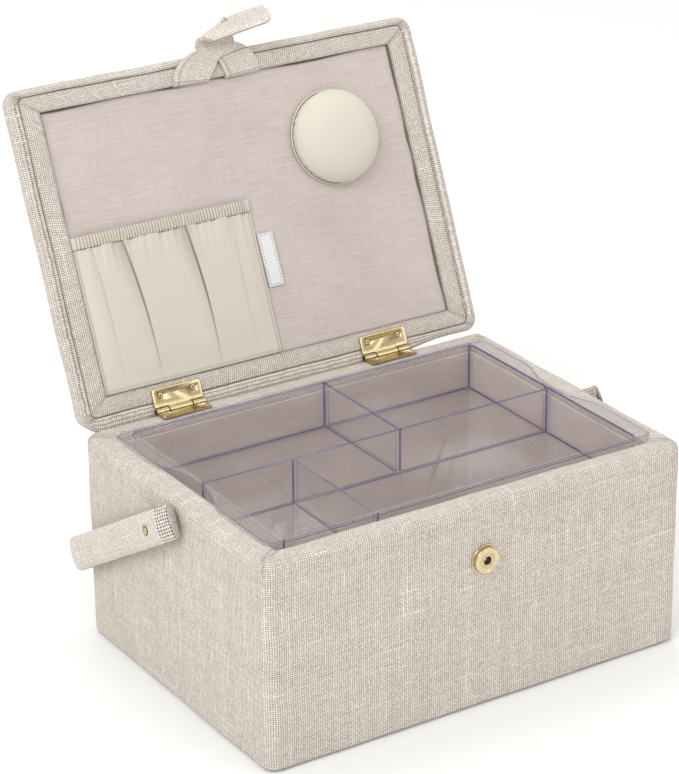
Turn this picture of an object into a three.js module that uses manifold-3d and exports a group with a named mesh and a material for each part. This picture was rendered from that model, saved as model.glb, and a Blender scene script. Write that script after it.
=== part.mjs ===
// Fabric-covered sewing box: hinged padded lid, lift-out tray, swinging carrying handle and snap strap.
// Millimetres, Z up, front towards -Y. The origin is under the middle of the box, on what it stands on.
// The lid is drawn open, the tray is in its place and the handle hangs behind the box.
import * as THREE from "three";
import { mergeVertices } from "three/addons/utils/BufferGeometryUtils.js";
import Module from "manifold-3d";

const wasm = await Module();
wasm.setup();

// Whole box
const BOX_WIDTH = 255;
const BOX_DEPTH = 185;
const BOX_HEIGHT = 116.5;
const HALF_WIDTH = BOX_WIDTH / 2;
const HALF_DEPTH = BOX_DEPTH / 2;
const BOX_CORNER = 7;
const SEAT = 0.3; // room left between pieces that touch
const CUT = 4; // how far a cutting tool reaches past what it cuts
const CORNER_STEPS = 4;

// Wall layers, counted inwards from the outer face; ends are the left and right walls
const CLOTH = 1;
const RIM_ROUND = 5;
const END_WALL = { inner: 14.7 };
const LONG_WALL = { inner: 13 };
const RIM_INNER_ROUND = 3;
const ARC_STEPS = 4;
const BOARD = 5.5;
const BOARD_TRIM = 1; // the front and back boards stop this short of the padding's round corners
const TURN_IN = 11; // height of the cloth turned down inside the rim
const SHEET = 0.7; // cloth glued under the base
const SHEET_INSET = 4;
const HEM_BOTTOM = SHEET + SEAT;
const HEM_REACH = 14;
const FOOT_ROUND = 2;
const BOARD_BOTTOM = HEM_BOTTOM + CLOTH + SEAT;
const BOARD_DROP = 4.5;
const BOARD_TOP = BOX_HEIGHT - BOARD_DROP;
const BASE_BOARD = 6;
const LINING = 1.4;
const FLOOR_LINING = 2;
const LINING_DROP = 4.6;
const LINING_TOP = BOX_HEIGHT - LINING_DROP;
const LINING_CORNER = 3;
const FLOOR_ROOM = 0.4;
const SHARP_CORNER = 0.8;

// Tray, one clear moulding
const TRAY_AT = { x: 1.3, y: 0.5 };
const TRAY_DEPTH = 27;
const TRAY_WALL = 1.5;
const TRAY_ROOM = { x: 2.2, y: 1.1 }; // between tray and lining on each side, with the tray in the middle
const TRAY_HALF_WIDTH = HALF_WIDTH - END_WALL.inner - SEAT - LINING - TRAY_ROOM.x - TRAY_WALL; // inside
const TRAY_HALF_DEPTH = HALF_DEPTH - LONG_WALL.inner - SEAT - LINING - TRAY_ROOM.y - TRAY_WALL;
const TRAY_FLOOR = 1.5;
const TRAY_CORNER = 4;
const DIVIDER = 1.4;
const DIVIDER_DROP = 1.5;
const FLANGE = 1.6;
const FLANGE_REACH = 10.6;
const SCOOP_REACH = 3.5;
const LIP_REACH = 2.5;
const FLANGE_HALF_WIDTH = TRAY_HALF_WIDTH + FLANGE_REACH;
const SCOOP_HALF_WIDTH = TRAY_HALF_WIDTH + SCOOP_REACH;
const LIP_HALF_DEPTH = TRAY_HALF_DEPTH + LIP_REACH;
const FLANGE_CORNER = 6;
const SCOOP = { y: 1.5, flat: 8, ease: 26 };
const LONG_DIVIDER_Y = 2.6;
const BACK_DIVIDER_X = 11.9;
const FRONT_DIVIDER_X = -53.5;
const CELL_CORNER = 1.6;

// Lid, drawn in its own frame: x across, s from the hinge edge to the free edge, n out of its inner face
const OPEN_ANGLE = 113.5;
const HINGE_INSET = 1.5;
const HINGE_Y = HALF_DEPTH - HINGE_INSET;
const HINGE_RISE = 1.25;
const HINGE_Z = BOX_HEIGHT + HINGE_RISE;
const LID_GAP = 2.5; // height of the inner face over the rim when shut
const LID_START = 2;
const LID_SHORT = 3.5; // how much less deep the lid is than the box
const LID_DEPTH = BOX_DEPTH - LID_SHORT;
const LID_THICK = 7.6;
const LID_CORNER = 8;
const ROLL_ROUND = 3;
const LID_CLOTH = 0.9;
const LID_CROWN = 2;
const CROWN_SHARES = [0.9, 0.65, 0.35, 0.05];
const GROOVE = { end: 7, long: 4.3 };
const HEM_DEPTH = 2;
const LID_HEM_REACH = 12.5;
const LID_BOARD = 2.2;
const LID_BOARD_INSET = 3.8;
const BORDER_THICK = 1.7;
const OPENING = { end: 18, long: 14 };
const BORDER_CORNER = 2;
const BORDER_ROUND = 0.5;
const LID_LINING = 0.9;

// Pocket, tag and pincushion on the lid lining
const POCKET_ROOM = 0.4;
const POCKET = {
  left: OPENING.end + POCKET_ROOM - HALF_WIDTH,
  right: 0,
  bottom: 16.4,
  top: 101.5,
  cloth: 0.9,
  bulge: 2.1,
  hem: 7,
};
const POCKET_FOLDS = [
  { x: -74, width: 5, depth: 0.9 },
  { x: -35, width: 5, depth: 0.9 },
];
const HEM_GATHERS = 14;
const HEM_GATHER_DEPTH = 0.25;
const HEM_THICK = 0.8;
const POCKET_SIDE_SHARE = 0.2; // of its width, over which the pocket rises from its side seams
const POCKET_FOOT_SHARE = 0.25; // of its height, over which it rises from its bottom seam
const POCKET_LOW_SHARE = 0.25; // of its slack that it has already at the foot
const TAG = { x: 6.1, s: 67, width: 9.6, length: 30, thick: 0.5, turn: 0.02 };
const CUSHION_FROM_EDGE = 58.5; // its middle from the lid's free edge
const CUSHION_FROM_SIDE = 65.5;
const CUSHION = {
  x: HALF_WIDTH - CUSHION_FROM_SIDE,
  s: LID_START + LID_DEPTH - CUSHION_FROM_EDGE,
  radius: 25.6,
  height: 15.5,
  pipeRadius: 1.1,
};
const CUSHION_FOOT_SHARE = 0.97;

// Closure strap
const STRAP_X = 1;
const STRAP_BEND_REACH = 1.8; // past the lid's free edge
const NECK_LENGTH = 10.2;
const BEND_S = LID_START + LID_DEPTH + STRAP_BEND_REACH;
const FOLD_S = BEND_S + NECK_LENGTH;
const LEG_LENGTH = 15.1;
const CROTCH_LENGTH = 5.9;
const LEG = {
  width: 22.2,
  outer: 28.4,
  rightInset: 2,
  apexX: 0.4,
  apexS: BEND_S - CROTCH_LENGTH,
  thick: 1.9,
  foot: BEND_S - LEG_LENGTH,
};
const NECK_WIDTH = 24;
const NECK_FLARE = 1;
const STRAP_MID = 1.25; // height of the strap's middle over the inner face
const NECK_END_ROOM = 1.9;
const TAB = { length: 32, width: 23, thick: 2, start: 1, corner: 5, snapAt: 24.5 };
const FOLD_IN_PLANE = 40.5; // degrees from x, in the plane of the strap
const FOLD_OUT_OF_PLANE = -19.6;
const FOLD_ANGLE = 113.5;

// Snap fastener
const SNAP_DROP = 32;
const SNAP_Z = BOX_HEIGHT - SNAP_DROP;
const SOCKET = { flange: 8, flangeThick: 0.6, cup: 7.25, height: 3.2, bore: 2.1, boreDepth: 2.4, rim: 0.7 };
const PLUG = { radius: 7, thick: 0.8, stud: 1.6, studHeight: 1.9, post: 1.1, postLength: 1.1 };
const SNAP_SHANK = 1.4;
const SNAP_SHANK_REACH = 8.6;

// Hinges
const HINGE_XS = [-69, 63];
const HINGE_NAMES = ["left", "right"];
const LEAF = { length: 30, thick: 0.8, corner: 1.5 };
const LOWER_LEAF = { reach: 9.2, screws: 5.4 };
const UPPER_LEAF = { reach: 12.2, screws: 8.4 };
const KNUCKLE = { radius: 1.75, bore: 1.1, middle: 14, gap: 0.3 };
const PIN_RADIUS = 0.8;
const SCREW = { spread: 10, head: 1.5, headRoom: 0.3, headThick: 0.4, sink: 0.5, shank: 0.75 };
const SCREW_ROOM = 0.3;
const BOX_SCREW_LENGTH = 9;
const LID_SCREW_LENGTH = 5.4;

// Handle: a flat band bent into a U and pinned to the ends of the box
const HANDLE_DROP = 20.2; // of its rivets under the rim
const HANDLE_PIVOT = { y: 8.9, z: BOX_HEIGHT - HANDLE_DROP };
const HANDLE_DROOP = 30.5;
const BAND = { width: 18.4, thick: 4.4, cloth: 1, round: 1.6 };
const ARM_OFFSET = 7; // middle of the band from the face of the box
const TIP_OFFSETS = { left: 4.6, right: 6.4 };
const TIP_REACH = 25;
const TIP_EASE = 20;
const HANDLE_ROOM = 9.5; // how far past the back its middle line lies as it hangs
const HANDLE_LEVEL = HALF_DEPTH + HANDLE_ROOM - HANDLE_PIVOT.y;
const HANDLE_REACH = HANDLE_LEVEL / Math.cos(THREE.MathUtils.degToRad(HANDLE_DROOP));
const HANDLE_BEND = 14;
const RIVET = { head: 3.4, dome: 1.5, shank: 1.5, washer: 5, washerThick: 1 };

const ROUND_STEPS = 14;
const WIDE_STEPS = 28; // round pieces that are large enough to show it

// Finishes
const linen = (tint) => new THREE.MeshStandardMaterial({ color: tint, roughness: 0.95, metalness: 0 });
const LINEN = linen("#dccfc0");
const LILAC = linen("#cdc2bd");
const COTTON = linen("#e8e0d0");
const CREAM = linen("#e6e0d2");
const WHITE_TAPE = linen("#f0eeea");
const CARD = linen("#a58a68");
const FOAM = linen("#efe9d8");
const BRASS = new THREE.MeshStandardMaterial({ color: "#d6b878", roughness: 0.28, metalness: 1 });
const CLEAR = new THREE.MeshStandardMaterial({
  color: "#d9dcf0",
  roughness: 0.06,
  metalness: 0,
  transparent: true,
  opacity: 0.3,
});

const radians = THREE.MathUtils.degToRad;
const ease = (share) => THREE.MathUtils.smoothstep(share, 0, 1);

// A closed surface as a solid that can be joined and cut
function solidOf(geometry) {
  const bare = new THREE.BufferGeometry().setAttribute("position", geometry.getAttribute("position").clone());
  if (geometry.index) bare.setIndex(geometry.index.clone());
  const merged = mergeVertices(bare);
  return new wasm.Manifold(
    new wasm.Mesh({
      numProp: merged.attributes.position.itemSize,
      vertProperties: new Float32Array(merged.attributes.position.array),
      triVerts: new Uint32Array(merged.index.array),
    }),
  );
}

function geometryOf(solid) {
  const mesh = solid.getMesh();
  const width = mesh.numProp;
  const corners = new Float32Array(mesh.numVert * 3);
  for (let i = 0; i < mesh.numVert; i++) {
    corners.set(mesh.vertProperties.subarray(i * width, i * width + 3), i * 3);
  }
  return new THREE.BufferGeometry()
    .setAttribute("position", new THREE.BufferAttribute(corners, 3))
    .setIndex(new THREE.BufferAttribute(new Uint32Array(mesh.triVerts), 1));
}

function piece(name, shape, material, group) {
  const geometry = shape.isBufferGeometry ? shape.clone() : geometryOf(shape);
  const mesh = new THREE.Mesh(geometry, material);
  mesh.geometry.computeVertexNormals();
  mesh.name = name;
  group.add(mesh);
  return mesh;
}

// A surface from rows of points: each row is joined to the next, and each row closes on itself
function surface(rows, closed) {
  const around = rows[0].length;
  const points = rows.flat();
  const faces = [];
  const last = closed ? rows.length : rows.length - 1;
  for (let i = 0; i < last; i++) {
    const here = i * around;
    const next = ((i + 1) % rows.length) * around;
    for (let j = 0; j < around; j++) {
      const k = (j + 1) % around;
      faces.push(here + j, here + k, next + k, here + j, next + k, next + j);
    }
  }
  if (!closed) {
    [0, rows.length - 1].forEach((row, end) => {
      const middle = new THREE.Vector3();
      rows[row].forEach((p) => middle.add(p));
      points.push(middle.divideScalar(around));
      for (let j = 0; j < around; j++) {
        const k = (j + 1) % around;
        const [a, b] = end ? [j, k] : [k, j];
        faces.push(row * around + a, row * around + b, points.length - 1);
      }
    });
  }
  const geometry = new THREE.BufferGeometry().setFromPoints(points).setIndex(faces);
  return turnedOutwards(geometry);
}

function turnedOutwards(geometry) {
  const index = geometry.index.array;
  const at = geometry.getAttribute("position");
  const [a, b, c] = [new THREE.Vector3(), new THREE.Vector3(), new THREE.Vector3()];
  let volume = 0;
  for (let i = 0; i < index.length; i += 3) {
    a.fromBufferAttribute(at, index[i]);
    b.fromBufferAttribute(at, index[i + 1]);
    c.fromBufferAttribute(at, index[i + 2]);
    volume += a.dot(b.cross(c));
  }
  if (volume < 0) {
    for (let i = 0; i < index.length; i += 3) [index[i], index[i + 1]] = [index[i + 1], index[i]];
  }
  return geometry;
}

// One loop round a rectangle with rounded corners; the height may differ between the ends and the long sides
function loop({ halfX, halfY, corner, endZ, longZ = endZ, y = 0 }) {
  const points = [];
  const signs = [[1, 1], [-1, 1], [-1, -1], [1, -1]];
  signs.forEach(([sx, sy], quarter) => {
    for (let i = 0; i <= CORNER_STEPS; i++) {
      const turn = ((quarter + i / CORNER_STEPS) * Math.PI) / 2;
      const z = endZ * Math.cos(turn) ** 2 + longZ * Math.sin(turn) ** 2;
      points.push(
        new THREE.Vector3(
          sx * (halfX - corner) + corner * Math.cos(turn),
          y + sy * (halfY - corner) + corner * Math.sin(turn),
          z,
        ),
      );
    }
  });
  return points;
}

// Loops from paired outlines of the end walls and the long walls, each point an inset and a height
function loopsFrom(ends, longs, { halfX, halfY, corner, y = 0 }) {
  return ends.map(([inset, z], i) =>
    loop({
      halfX: halfX - inset,
      halfY: halfY - longs[i][0],
      corner: Math.max(corner - longs[i][0], SHARP_CORNER),
      endZ: z,
      longZ: longs[i][1],
      y,
    }),
  );
}

function arc(inset, z, radius, from, to, steps = ARC_STEPS) {
  return Array.from({ length: steps + 1 }, (_, i) => {
    const turn = radians(from + ((to - from) * i) / steps);
    return [inset + radius * Math.cos(turn), z + radius * Math.sin(turn)];
  });
}

// The top of a wall, a given depth under the outer cloth, from the outer face to the inner face
function rimOutline(wall, depth) {
  const innerMiddle = wall.inner - RIM_INNER_ROUND;
  return [
    ...arc(RIM_ROUND, BOX_HEIGHT - RIM_ROUND, RIM_ROUND - depth, 180, 90),
    ...arc(innerMiddle, BOX_HEIGHT - RIM_INNER_ROUND, RIM_INNER_ROUND - depth, 90, 0),
  ];
}

function coverOutline(wall) {
  const turnBottom = BOX_HEIGHT - RIM_INNER_ROUND - TURN_IN;
  return [
    [HEM_REACH, HEM_BOTTOM],
    ...arc(FOOT_ROUND, HEM_BOTTOM + FOOT_ROUND, FOOT_ROUND, 270, 180),
    ...rimOutline(wall, 0),
    [wall.inner, turnBottom],
    [wall.inner - CLOTH, turnBottom],
    ...rimOutline(wall, CLOTH).reverse(),
    ...arc(FOOT_ROUND, HEM_BOTTOM + FOOT_ROUND, FOOT_ROUND - CLOTH, 180, 270),
    [HEM_REACH, HEM_BOTTOM + CLOTH],
  ];
}

function paddingOutline(wall) {
  const depth = CLOTH + SEAT;
  const boardOuter = wall.inner - depth - BOARD;
  return [
    [boardOuter - SEAT, BOARD_BOTTOM + SEAT],
    [depth, BOARD_BOTTOM + SEAT],
    ...rimOutline(wall, depth),
    [wall.inner - depth, BOARD_TOP + SEAT],
    [boardOuter - SEAT, BOARD_TOP + SEAT],
  ];
}

function plate(halfX, halfY, corner, z, thick, y = 0) {
  const sizes = { halfX, halfY, corner, y };
  return surface([loop({ ...sizes, endZ: z }), loop({ ...sizes, endZ: z + thick })], false);
}

function block(x0, x1, y0, y1, z0, z1) {
  const made = new THREE.BoxGeometry(x1 - x0, y1 - y0, z1 - z0);
  return made.translate((x0 + x1) / 2, (y0 + y1) / 2, (z0 + z1) / 2);
}

// A round bar along z, from z0 to z1
function bar(radius, x, y, z0, z1) {
  return new THREE.CylinderGeometry(radius, radius, z1 - z0, ROUND_STEPS)
    .rotateX(Math.PI / 2)
    .translate(x, y, (z0 + z1) / 2);
}

// A turned piece about z from radius and height pairs that start and end on the axis
function turned(outline, steps = ROUND_STEPS) {
  const profile = outline.map(([radius, z]) => new THREE.Vector2(radius, z));
  const lathed = new THREE.LatheGeometry(profile, steps).rotateX(Math.PI / 2);
  return turnedOutwards(mergeVertices(positionsOnly(lathed)));
}

function positionsOnly(geometry) {
  const bare = new THREE.BufferGeometry().setAttribute("position", geometry.getAttribute("position"));
  return geometry.index ? bare.setIndex(geometry.index) : bare;
}

function cutAll(geometry, tools) {
  return tools.reduce((left, tool) => left.subtract(solidOf(tool)), solidOf(geometry));
}

const part = new THREE.Group();

// Placement of the screws, in box coordinates for the lower leaves and lid coordinates for the upper ones
const screwXs = HINGE_XS.map((x) => [x - SCREW.spread, x + SCREW.spread]);
const boxScrewY = HINGE_Y - LOWER_LEAF.screws;
const lidHingeS = HALF_DEPTH - HINGE_Y;
const lidScrewS = lidHingeS + UPPER_LEAF.screws;
const leafBottom = BOX_HEIGHT + SEAT;
const leafTop = leafBottom + LEAF.thick;
const screwHole = SCREW.shank + SCREW_ROOM;
const boxScrewHoles = screwXs
  .flat()
  .map((x) => bar(screwHole, x, boxScrewY, leafTop - BOX_SCREW_LENGTH - SCREW_ROOM, leafTop + CUT));
const lidScrewHoles = screwXs
  .flat()
  .map((x) => bar(screwHole, x, lidScrewS, SEAT + LEAF.thick - LID_SCREW_LENGTH - SCREW_ROOM, CUT));

const snapHole = bar(SNAP_SHANK + SEAT, 0, 0, 0, SNAP_SHANK_REACH + SEAT + CUT)
  .rotateX(-Math.PI / 2)
  .translate(STRAP_X, -HALF_DEPTH - CUT, SNAP_Z);
const rivetHole = (side) =>
  bar(RIVET.shank + SEAT, 0, 0, -END_WALL.inner - CUT, CUT)
    .rotateY((side * Math.PI) / 2)
    .translate(side * HALF_WIDTH, HANDLE_PIVOT.y, HANDLE_PIVOT.z);
const wallHoles = [...boxScrewHoles, snapHole, rivetHole(-1), rivetHole(1)];

// Box body
const coverSizes = { halfX: HALF_WIDTH, halfY: HALF_DEPTH, corner: BOX_CORNER };
const coverShell = surface(loopsFrom(coverOutline(END_WALL), coverOutline(LONG_WALL), coverSizes), true);
piece("box_cover", cutAll(coverShell, wallHoles), LINEN, part);
const paddingRing = surface(loopsFrom(paddingOutline(END_WALL), paddingOutline(LONG_WALL), coverSizes), true);
piece("box_padding", cutAll(paddingRing, wallHoles), FOAM, part);

const endBoardInner = END_WALL.inner - CLOTH - SEAT;
const longBoardInner = LONG_WALL.inner - CLOTH - SEAT;
const endBoardX = HALF_WIDTH - endBoardInner;
const longBoardY = HALF_DEPTH - longBoardInner;
const longBoard = (side) => {
  const [y0, y1] = [longBoardY, longBoardY + BOARD].map((y) => side * y).sort((a, b) => a - b);
  const halfLength = endBoardX + BOARD - BOARD_TRIM;
  return block(-halfLength, halfLength, y0, y1, BOARD_BOTTOM, BOARD_TOP);
};
const endBoard = (side) => {
  const [x0, x1] = [endBoardX, endBoardX + BOARD].map((x) => side * x).sort((a, b) => a - b);
  return block(x0, x1, -longBoardY + SEAT, longBoardY - SEAT, BOARD_BOTTOM, BOARD_TOP);
};
piece("board_front", cutAll(longBoard(-1), [snapHole]), CARD, part);
piece("board_back", cutAll(longBoard(1), boxScrewHoles), CARD, part);
piece("board_left", cutAll(endBoard(-1), [rivetHole(-1)]), CARD, part);
piece("board_right", cutAll(endBoard(1), [rivetHole(1)]), CARD, part);
piece(
  "board_base",
  block(
    -endBoardX + SEAT,
    endBoardX - SEAT,
    -longBoardY + SEAT,
    longBoardY - SEAT,
    BOARD_BOTTOM,
    BOARD_BOTTOM + BASE_BOARD,
  ),
  CARD,
  part,
);
const baseCloth = plate(HALF_WIDTH - SHEET_INSET, HALF_DEPTH - SHEET_INSET, BOX_CORNER - SHEET_INSET, 0, SHEET);
piece("base_cloth", baseCloth, LINEN, part);

const floorZ = BOARD_BOTTOM + BASE_BOARD + SEAT;
const liningHalfX = HALF_WIDTH - END_WALL.inner - SEAT;
const liningHalfY = HALF_DEPTH - LONG_WALL.inner - SEAT;
const liningSection = [[0, floorZ], [0, LINING_TOP], [LINING, LINING_TOP], [LINING, floorZ]];
const sideLining = surface(
  loopsFrom(liningSection, liningSection, { halfX: liningHalfX, halfY: liningHalfY, corner: LINING_CORNER }),
  true,
);
piece("side_lining", sideLining, LILAC, part);
const floorRoom = LINING + FLOOR_ROOM;
const floorPanel = plate(liningHalfX - floorRoom, liningHalfY - floorRoom, SHARP_CORNER, floorZ, FLOOR_LINING);
piece("floor_lining", floorPanel, LILAC, part);

// Snap socket on the front wall, turned about y
const socketOutline = [
  [0, -SNAP_SHANK_REACH],
  [SNAP_SHANK, -SNAP_SHANK_REACH],
  [SNAP_SHANK, SEAT],
  [SOCKET.flange, SEAT],
  [SOCKET.flange, SOCKET.flangeThick],
  [SOCKET.cup, SOCKET.flangeThick + SEAT],
  [SOCKET.cup, SOCKET.height - SOCKET.rim],
  [SOCKET.cup - SOCKET.rim, SOCKET.height],
  [SOCKET.bore, SOCKET.height],
  [SOCKET.bore, SOCKET.height - SOCKET.boreDepth],
  [0, SOCKET.height - SOCKET.boreDepth],
];
const socket = piece("snap_socket", turned(socketOutline, WIDE_STEPS), BRASS, part);
socket.rotation.x = Math.PI / 2;
socket.position.set(STRAP_X, -HALF_DEPTH, SNAP_Z);

// Tray
function flangeShape() {
  const edge = (side) => {
    const reach = SCOOP.flat + SCOOP.ease;
    const steps = Array.from({ length: 2 * ARC_STEPS + 2 }, (_, i) => {
      const half = Math.floor(i / (ARC_STEPS + 1));
      const share = (i % (ARC_STEPS + 1)) / ARC_STEPS;
      const away = half ? SCOOP.flat + share * SCOOP.ease : reach - share * SCOOP.ease;
      const out = half ? ease(share) : 1 - ease(share);
      const x = SCOOP_HALF_WIDTH + (FLANGE_HALF_WIDTH - SCOOP_HALF_WIDTH) * out;
      return [side * x, SCOOP.y + side * (half ? away : -away)];
    });
    return steps;
  };
  const corner = (sx, sy, from) =>
    arc(
      sx * (FLANGE_HALF_WIDTH - FLANGE_CORNER),
      sy * (LIP_HALF_DEPTH - FLANGE_CORNER),
      FLANGE_CORNER,
      from,
      from + 90,
    );
  const outline = [
    ...corner(1, -1, -90),
    ...edge(1),
    ...corner(1, 1, 0),
    ...corner(-1, 1, 90),
    ...edge(-1),
    ...corner(-1, -1, 180),
  ];
  return new THREE.Shape(outline.map(([x, y]) => new THREE.Vector2(x, y)));
}
const trayTop = BOX_HEIGHT + SEAT + FLANGE;
const trayBottom = trayTop - TRAY_DEPTH - TRAY_FLOOR;
const outerX = TRAY_HALF_WIDTH + TRAY_WALL;
const outerY = TRAY_HALF_DEPTH + TRAY_WALL;
const trayTub = solidOf(plate(outerX, outerY, TRAY_CORNER + TRAY_WALL, trayBottom, trayTop - trayBottom));
const flange = new THREE.ExtrudeGeometry(flangeShape(), { depth: FLANGE, bevelEnabled: false });
const trayBody = trayTub.add(solidOf(flange.translate(0, 0, trayTop - FLANGE)));
const dividerTop = trayTop - DIVIDER_DROP;
const cell = (x0, x1, y0, y1) =>
  plate((x1 - x0) / 2, (y1 - y0) / 2, CELL_CORNER, trayBottom + TRAY_FLOOR, TRAY_DEPTH + CUT).translate(
    (x0 + x1) / 2,
    (y0 + y1) / 2,
    0,
  );
const half = DIVIDER / 2;
const cells = [
  cell(-TRAY_HALF_WIDTH, BACK_DIVIDER_X - half, LONG_DIVIDER_Y + half, TRAY_HALF_DEPTH),
  cell(BACK_DIVIDER_X + half, TRAY_HALF_WIDTH, LONG_DIVIDER_Y + half, TRAY_HALF_DEPTH),
  cell(-TRAY_HALF_WIDTH, FRONT_DIVIDER_X - half, -TRAY_HALF_DEPTH, LONG_DIVIDER_Y - half),
  cell(FRONT_DIVIDER_X + half, TRAY_HALF_WIDTH, -TRAY_HALF_DEPTH, LONG_DIVIDER_Y - half),
];
const mouth = plate(TRAY_HALF_WIDTH, TRAY_HALF_DEPTH, CELL_CORNER, dividerTop, DIVIDER_DROP + CUT);
const traySolid = [...cells, mouth].reduce((left, tool) => left.subtract(solidOf(tool)), trayBody);
const tray = piece("tray", traySolid, CLEAR, part);
tray.position.set(TRAY_AT.x, TRAY_AT.y, 0);

// Lid frame: local x across, local y = s, local z = n
const lidHinge = new THREE.Group();
lidHinge.position.set(0, HINGE_Y, HINGE_Z);
lidHinge.rotation.x = -radians(OPEN_ANGLE);
part.add(lidHinge);
const lid = new THREE.Group();
lid.position.set(0, HALF_DEPTH - HINGE_Y, BOX_HEIGHT + LID_GAP - HINGE_Z);
lid.rotation.x = Math.PI;
lidHinge.add(lid);

const lidHalf = LID_DEPTH / 2;
const lidMiddle = LID_START + lidHalf;
const lidSizes = { halfX: HALF_WIDTH, halfY: lidHalf, corner: LID_CORNER, y: lidMiddle };
function lidEdge(depth) {
  const radius = ROLL_ROUND - depth;
  return [
    ...arc(ROLL_ROUND, ROLL_ROUND - LID_THICK, radius, 270, 180),
    ...arc(ROLL_ROUND, -ROLL_ROUND, radius, 180, 90),
  ];
}
// Loops of the crowned outer face, from the middle to the edge
function crownLoops(z, inset) {
  return [...CROWN_SHARES].reverse().map((share) =>
    loop({
      halfX: (HALF_WIDTH - inset) * share,
      halfY: (lidHalf - inset) * share,
      corner: LID_CORNER * share,
      endZ: z - LID_CROWN * (1 - share ** 2),
      y: lidMiddle,
    }),
  );
}
const edgeLoops = (ends, longs = ends) => loopsFrom(ends, longs, lidSizes);
const lidCoverEdge = (groove) => [
  ...lidEdge(0),
  [groove, 0],
  [groove, -HEM_DEPTH],
  [LID_HEM_REACH, -HEM_DEPTH],
  [LID_HEM_REACH, -HEM_DEPTH - LID_CLOTH],
  [groove - LID_CLOTH, -HEM_DEPTH - LID_CLOTH],
  [groove - LID_CLOTH, -LID_CLOTH],
  ...lidEdge(LID_CLOTH).reverse(),
];
const coverInner = -LID_THICK + LID_CLOTH;
const lidCover = surface(
  [
    ...crownLoops(-LID_THICK, ROLL_ROUND),
    ...edgeLoops(lidCoverEdge(GROOVE.end), lidCoverEdge(GROOVE.long)),
    ...crownLoops(coverInner, ROLL_ROUND).reverse(),
  ],
  false,
);
piece("lid_cover", cutAll(lidCover, lidScrewHoles), LINEN, lid);

const lidBoardTop = -HEM_DEPTH - LID_CLOTH - SEAT;
const lidBoardBottom = lidBoardTop - LID_BOARD;
const paddingDepth = LID_CLOTH + SEAT;
const lidPaddingEdge = (groove) => [
  ...lidEdge(paddingDepth),
  [groove - paddingDepth, -paddingDepth],
  [groove - paddingDepth, lidBoardTop + SEAT],
  [LID_BOARD_INSET - SEAT, lidBoardTop + SEAT],
  [LID_BOARD_INSET - SEAT, lidBoardBottom - SEAT],
];
const innerCrown = [loop({
  halfX: HALF_WIDTH * CROWN_SHARES[3],
  halfY: lidHalf * CROWN_SHARES[3],
  corner: LID_CORNER * CROWN_SHARES[3],
  endZ: lidBoardBottom - SEAT,
  y: lidMiddle,
})];
const lidPadding = surface(
  [
    ...crownLoops(-LID_THICK + paddingDepth, ROLL_ROUND),
    ...edgeLoops(lidPaddingEdge(GROOVE.end), lidPaddingEdge(GROOVE.long)),
    ...innerCrown,
  ],
  false,
);
piece("lid_padding", lidPadding, FOAM, lid);
const lidBoard = plate(
  HALF_WIDTH - LID_BOARD_INSET,
  lidHalf - LID_BOARD_INSET,
  LID_CORNER - LID_BOARD_INSET,
  lidBoardBottom,
  LID_BOARD,
  lidMiddle,
);
piece("lid_board", cutAll(lidBoard, lidScrewHoles), CARD, lid);

const borderSection = (groove, opening) => [
  [groove + SEAT, -BORDER_THICK],
  [groove + SEAT, -BORDER_ROUND],
  [groove + SEAT + BORDER_ROUND, 0],
  [opening - BORDER_ROUND, 0],
  [opening, -BORDER_ROUND],
  [opening, -BORDER_THICK],
];
const border = surface(
  edgeLoops(borderSection(GROOVE.end, OPENING.end), borderSection(GROOVE.long, OPENING.long)),
  true,
);
piece("lid_border", cutAll(border, lidScrewHoles), LINEN, lid);
const liningFace = -HEM_DEPTH;
const liningInset = LID_HEM_REACH + SEAT;
const lidLining = plate(
  HALF_WIDTH - liningInset,
  lidHalf - liningInset,
  BORDER_CORNER,
  liningFace - LID_LINING,
  LID_LINING,
  lidMiddle,
);
piece("lid_lining", lidLining, LILAC, lid);

// Pocket: a cloth sheet held on three sides, slack and gathered at its open top
const POCKET_COLUMNS = 36;
const POCKET_ROWS = 6;
const onLining = liningFace + SEAT;
function pocketSlack(across, up) {
  const fromSide = Math.min(across, 1 - across);
  const rise = POCKET_LOW_SHARE + (1 - POCKET_LOW_SHARE) * ease(up);
  return ease((2 * fromSide) / POCKET_SIDE_SHARE) * rise * ease(up / POCKET_FOOT_SHARE);
}
function foldDip(x) {
  const dip = (fold) => fold.depth * Math.exp(-(((x - fold.x) / fold.width) ** 2));
  return POCKET_FOLDS.reduce((sum, fold) => sum + dip(fold), 0);
}
function sheetSolid(columns, rows, front, thick) {
  const strips = Array.from({ length: columns + 1 }, (_, i) => {
    const up = Array.from({ length: rows + 1 }, (_, j) => front(i / columns, j / rows));
    const down = [...up].reverse().map((p) => p.clone().setZ(p.z - thick));
    return [...up, ...down];
  });
  return surface(strips, false);
}
const pocketWidth = POCKET.right - POCKET.left;
const pocketPanelTop = POCKET.top - POCKET.hem - SEAT;
const pocketPoint = (across, s, extra) => {
  const x = POCKET.left + pocketWidth * across;
  const up = (s - POCKET.bottom) / (POCKET.top - POCKET.bottom);
  const slack = pocketSlack(across, up);
  return new THREE.Vector3(x, s, onLining + POCKET.cloth + slack * (POCKET.bulge - foldDip(x)) + extra);
};
const pocketPanel = sheetSolid(
  POCKET_COLUMNS,
  POCKET_ROWS,
  (across, up) => pocketPoint(across, POCKET.bottom + (pocketPanelTop - POCKET.bottom) * up, 0),
  POCKET.cloth,
);
piece("pocket", pocketPanel, COTTON, lid);
const hemSolid = sheetSolid(
  HEM_GATHERS * 4,
  2,
  (across, up) => {
    const gather = HEM_GATHER_DEPTH * Math.sin(2 * Math.PI * HEM_GATHERS * across);
    return pocketPoint(across, POCKET.top - POCKET.hem * (1 - up), gather);
  },
  HEM_THICK,
);
piece("pocket_hem", hemSolid, COTTON, lid);

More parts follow.
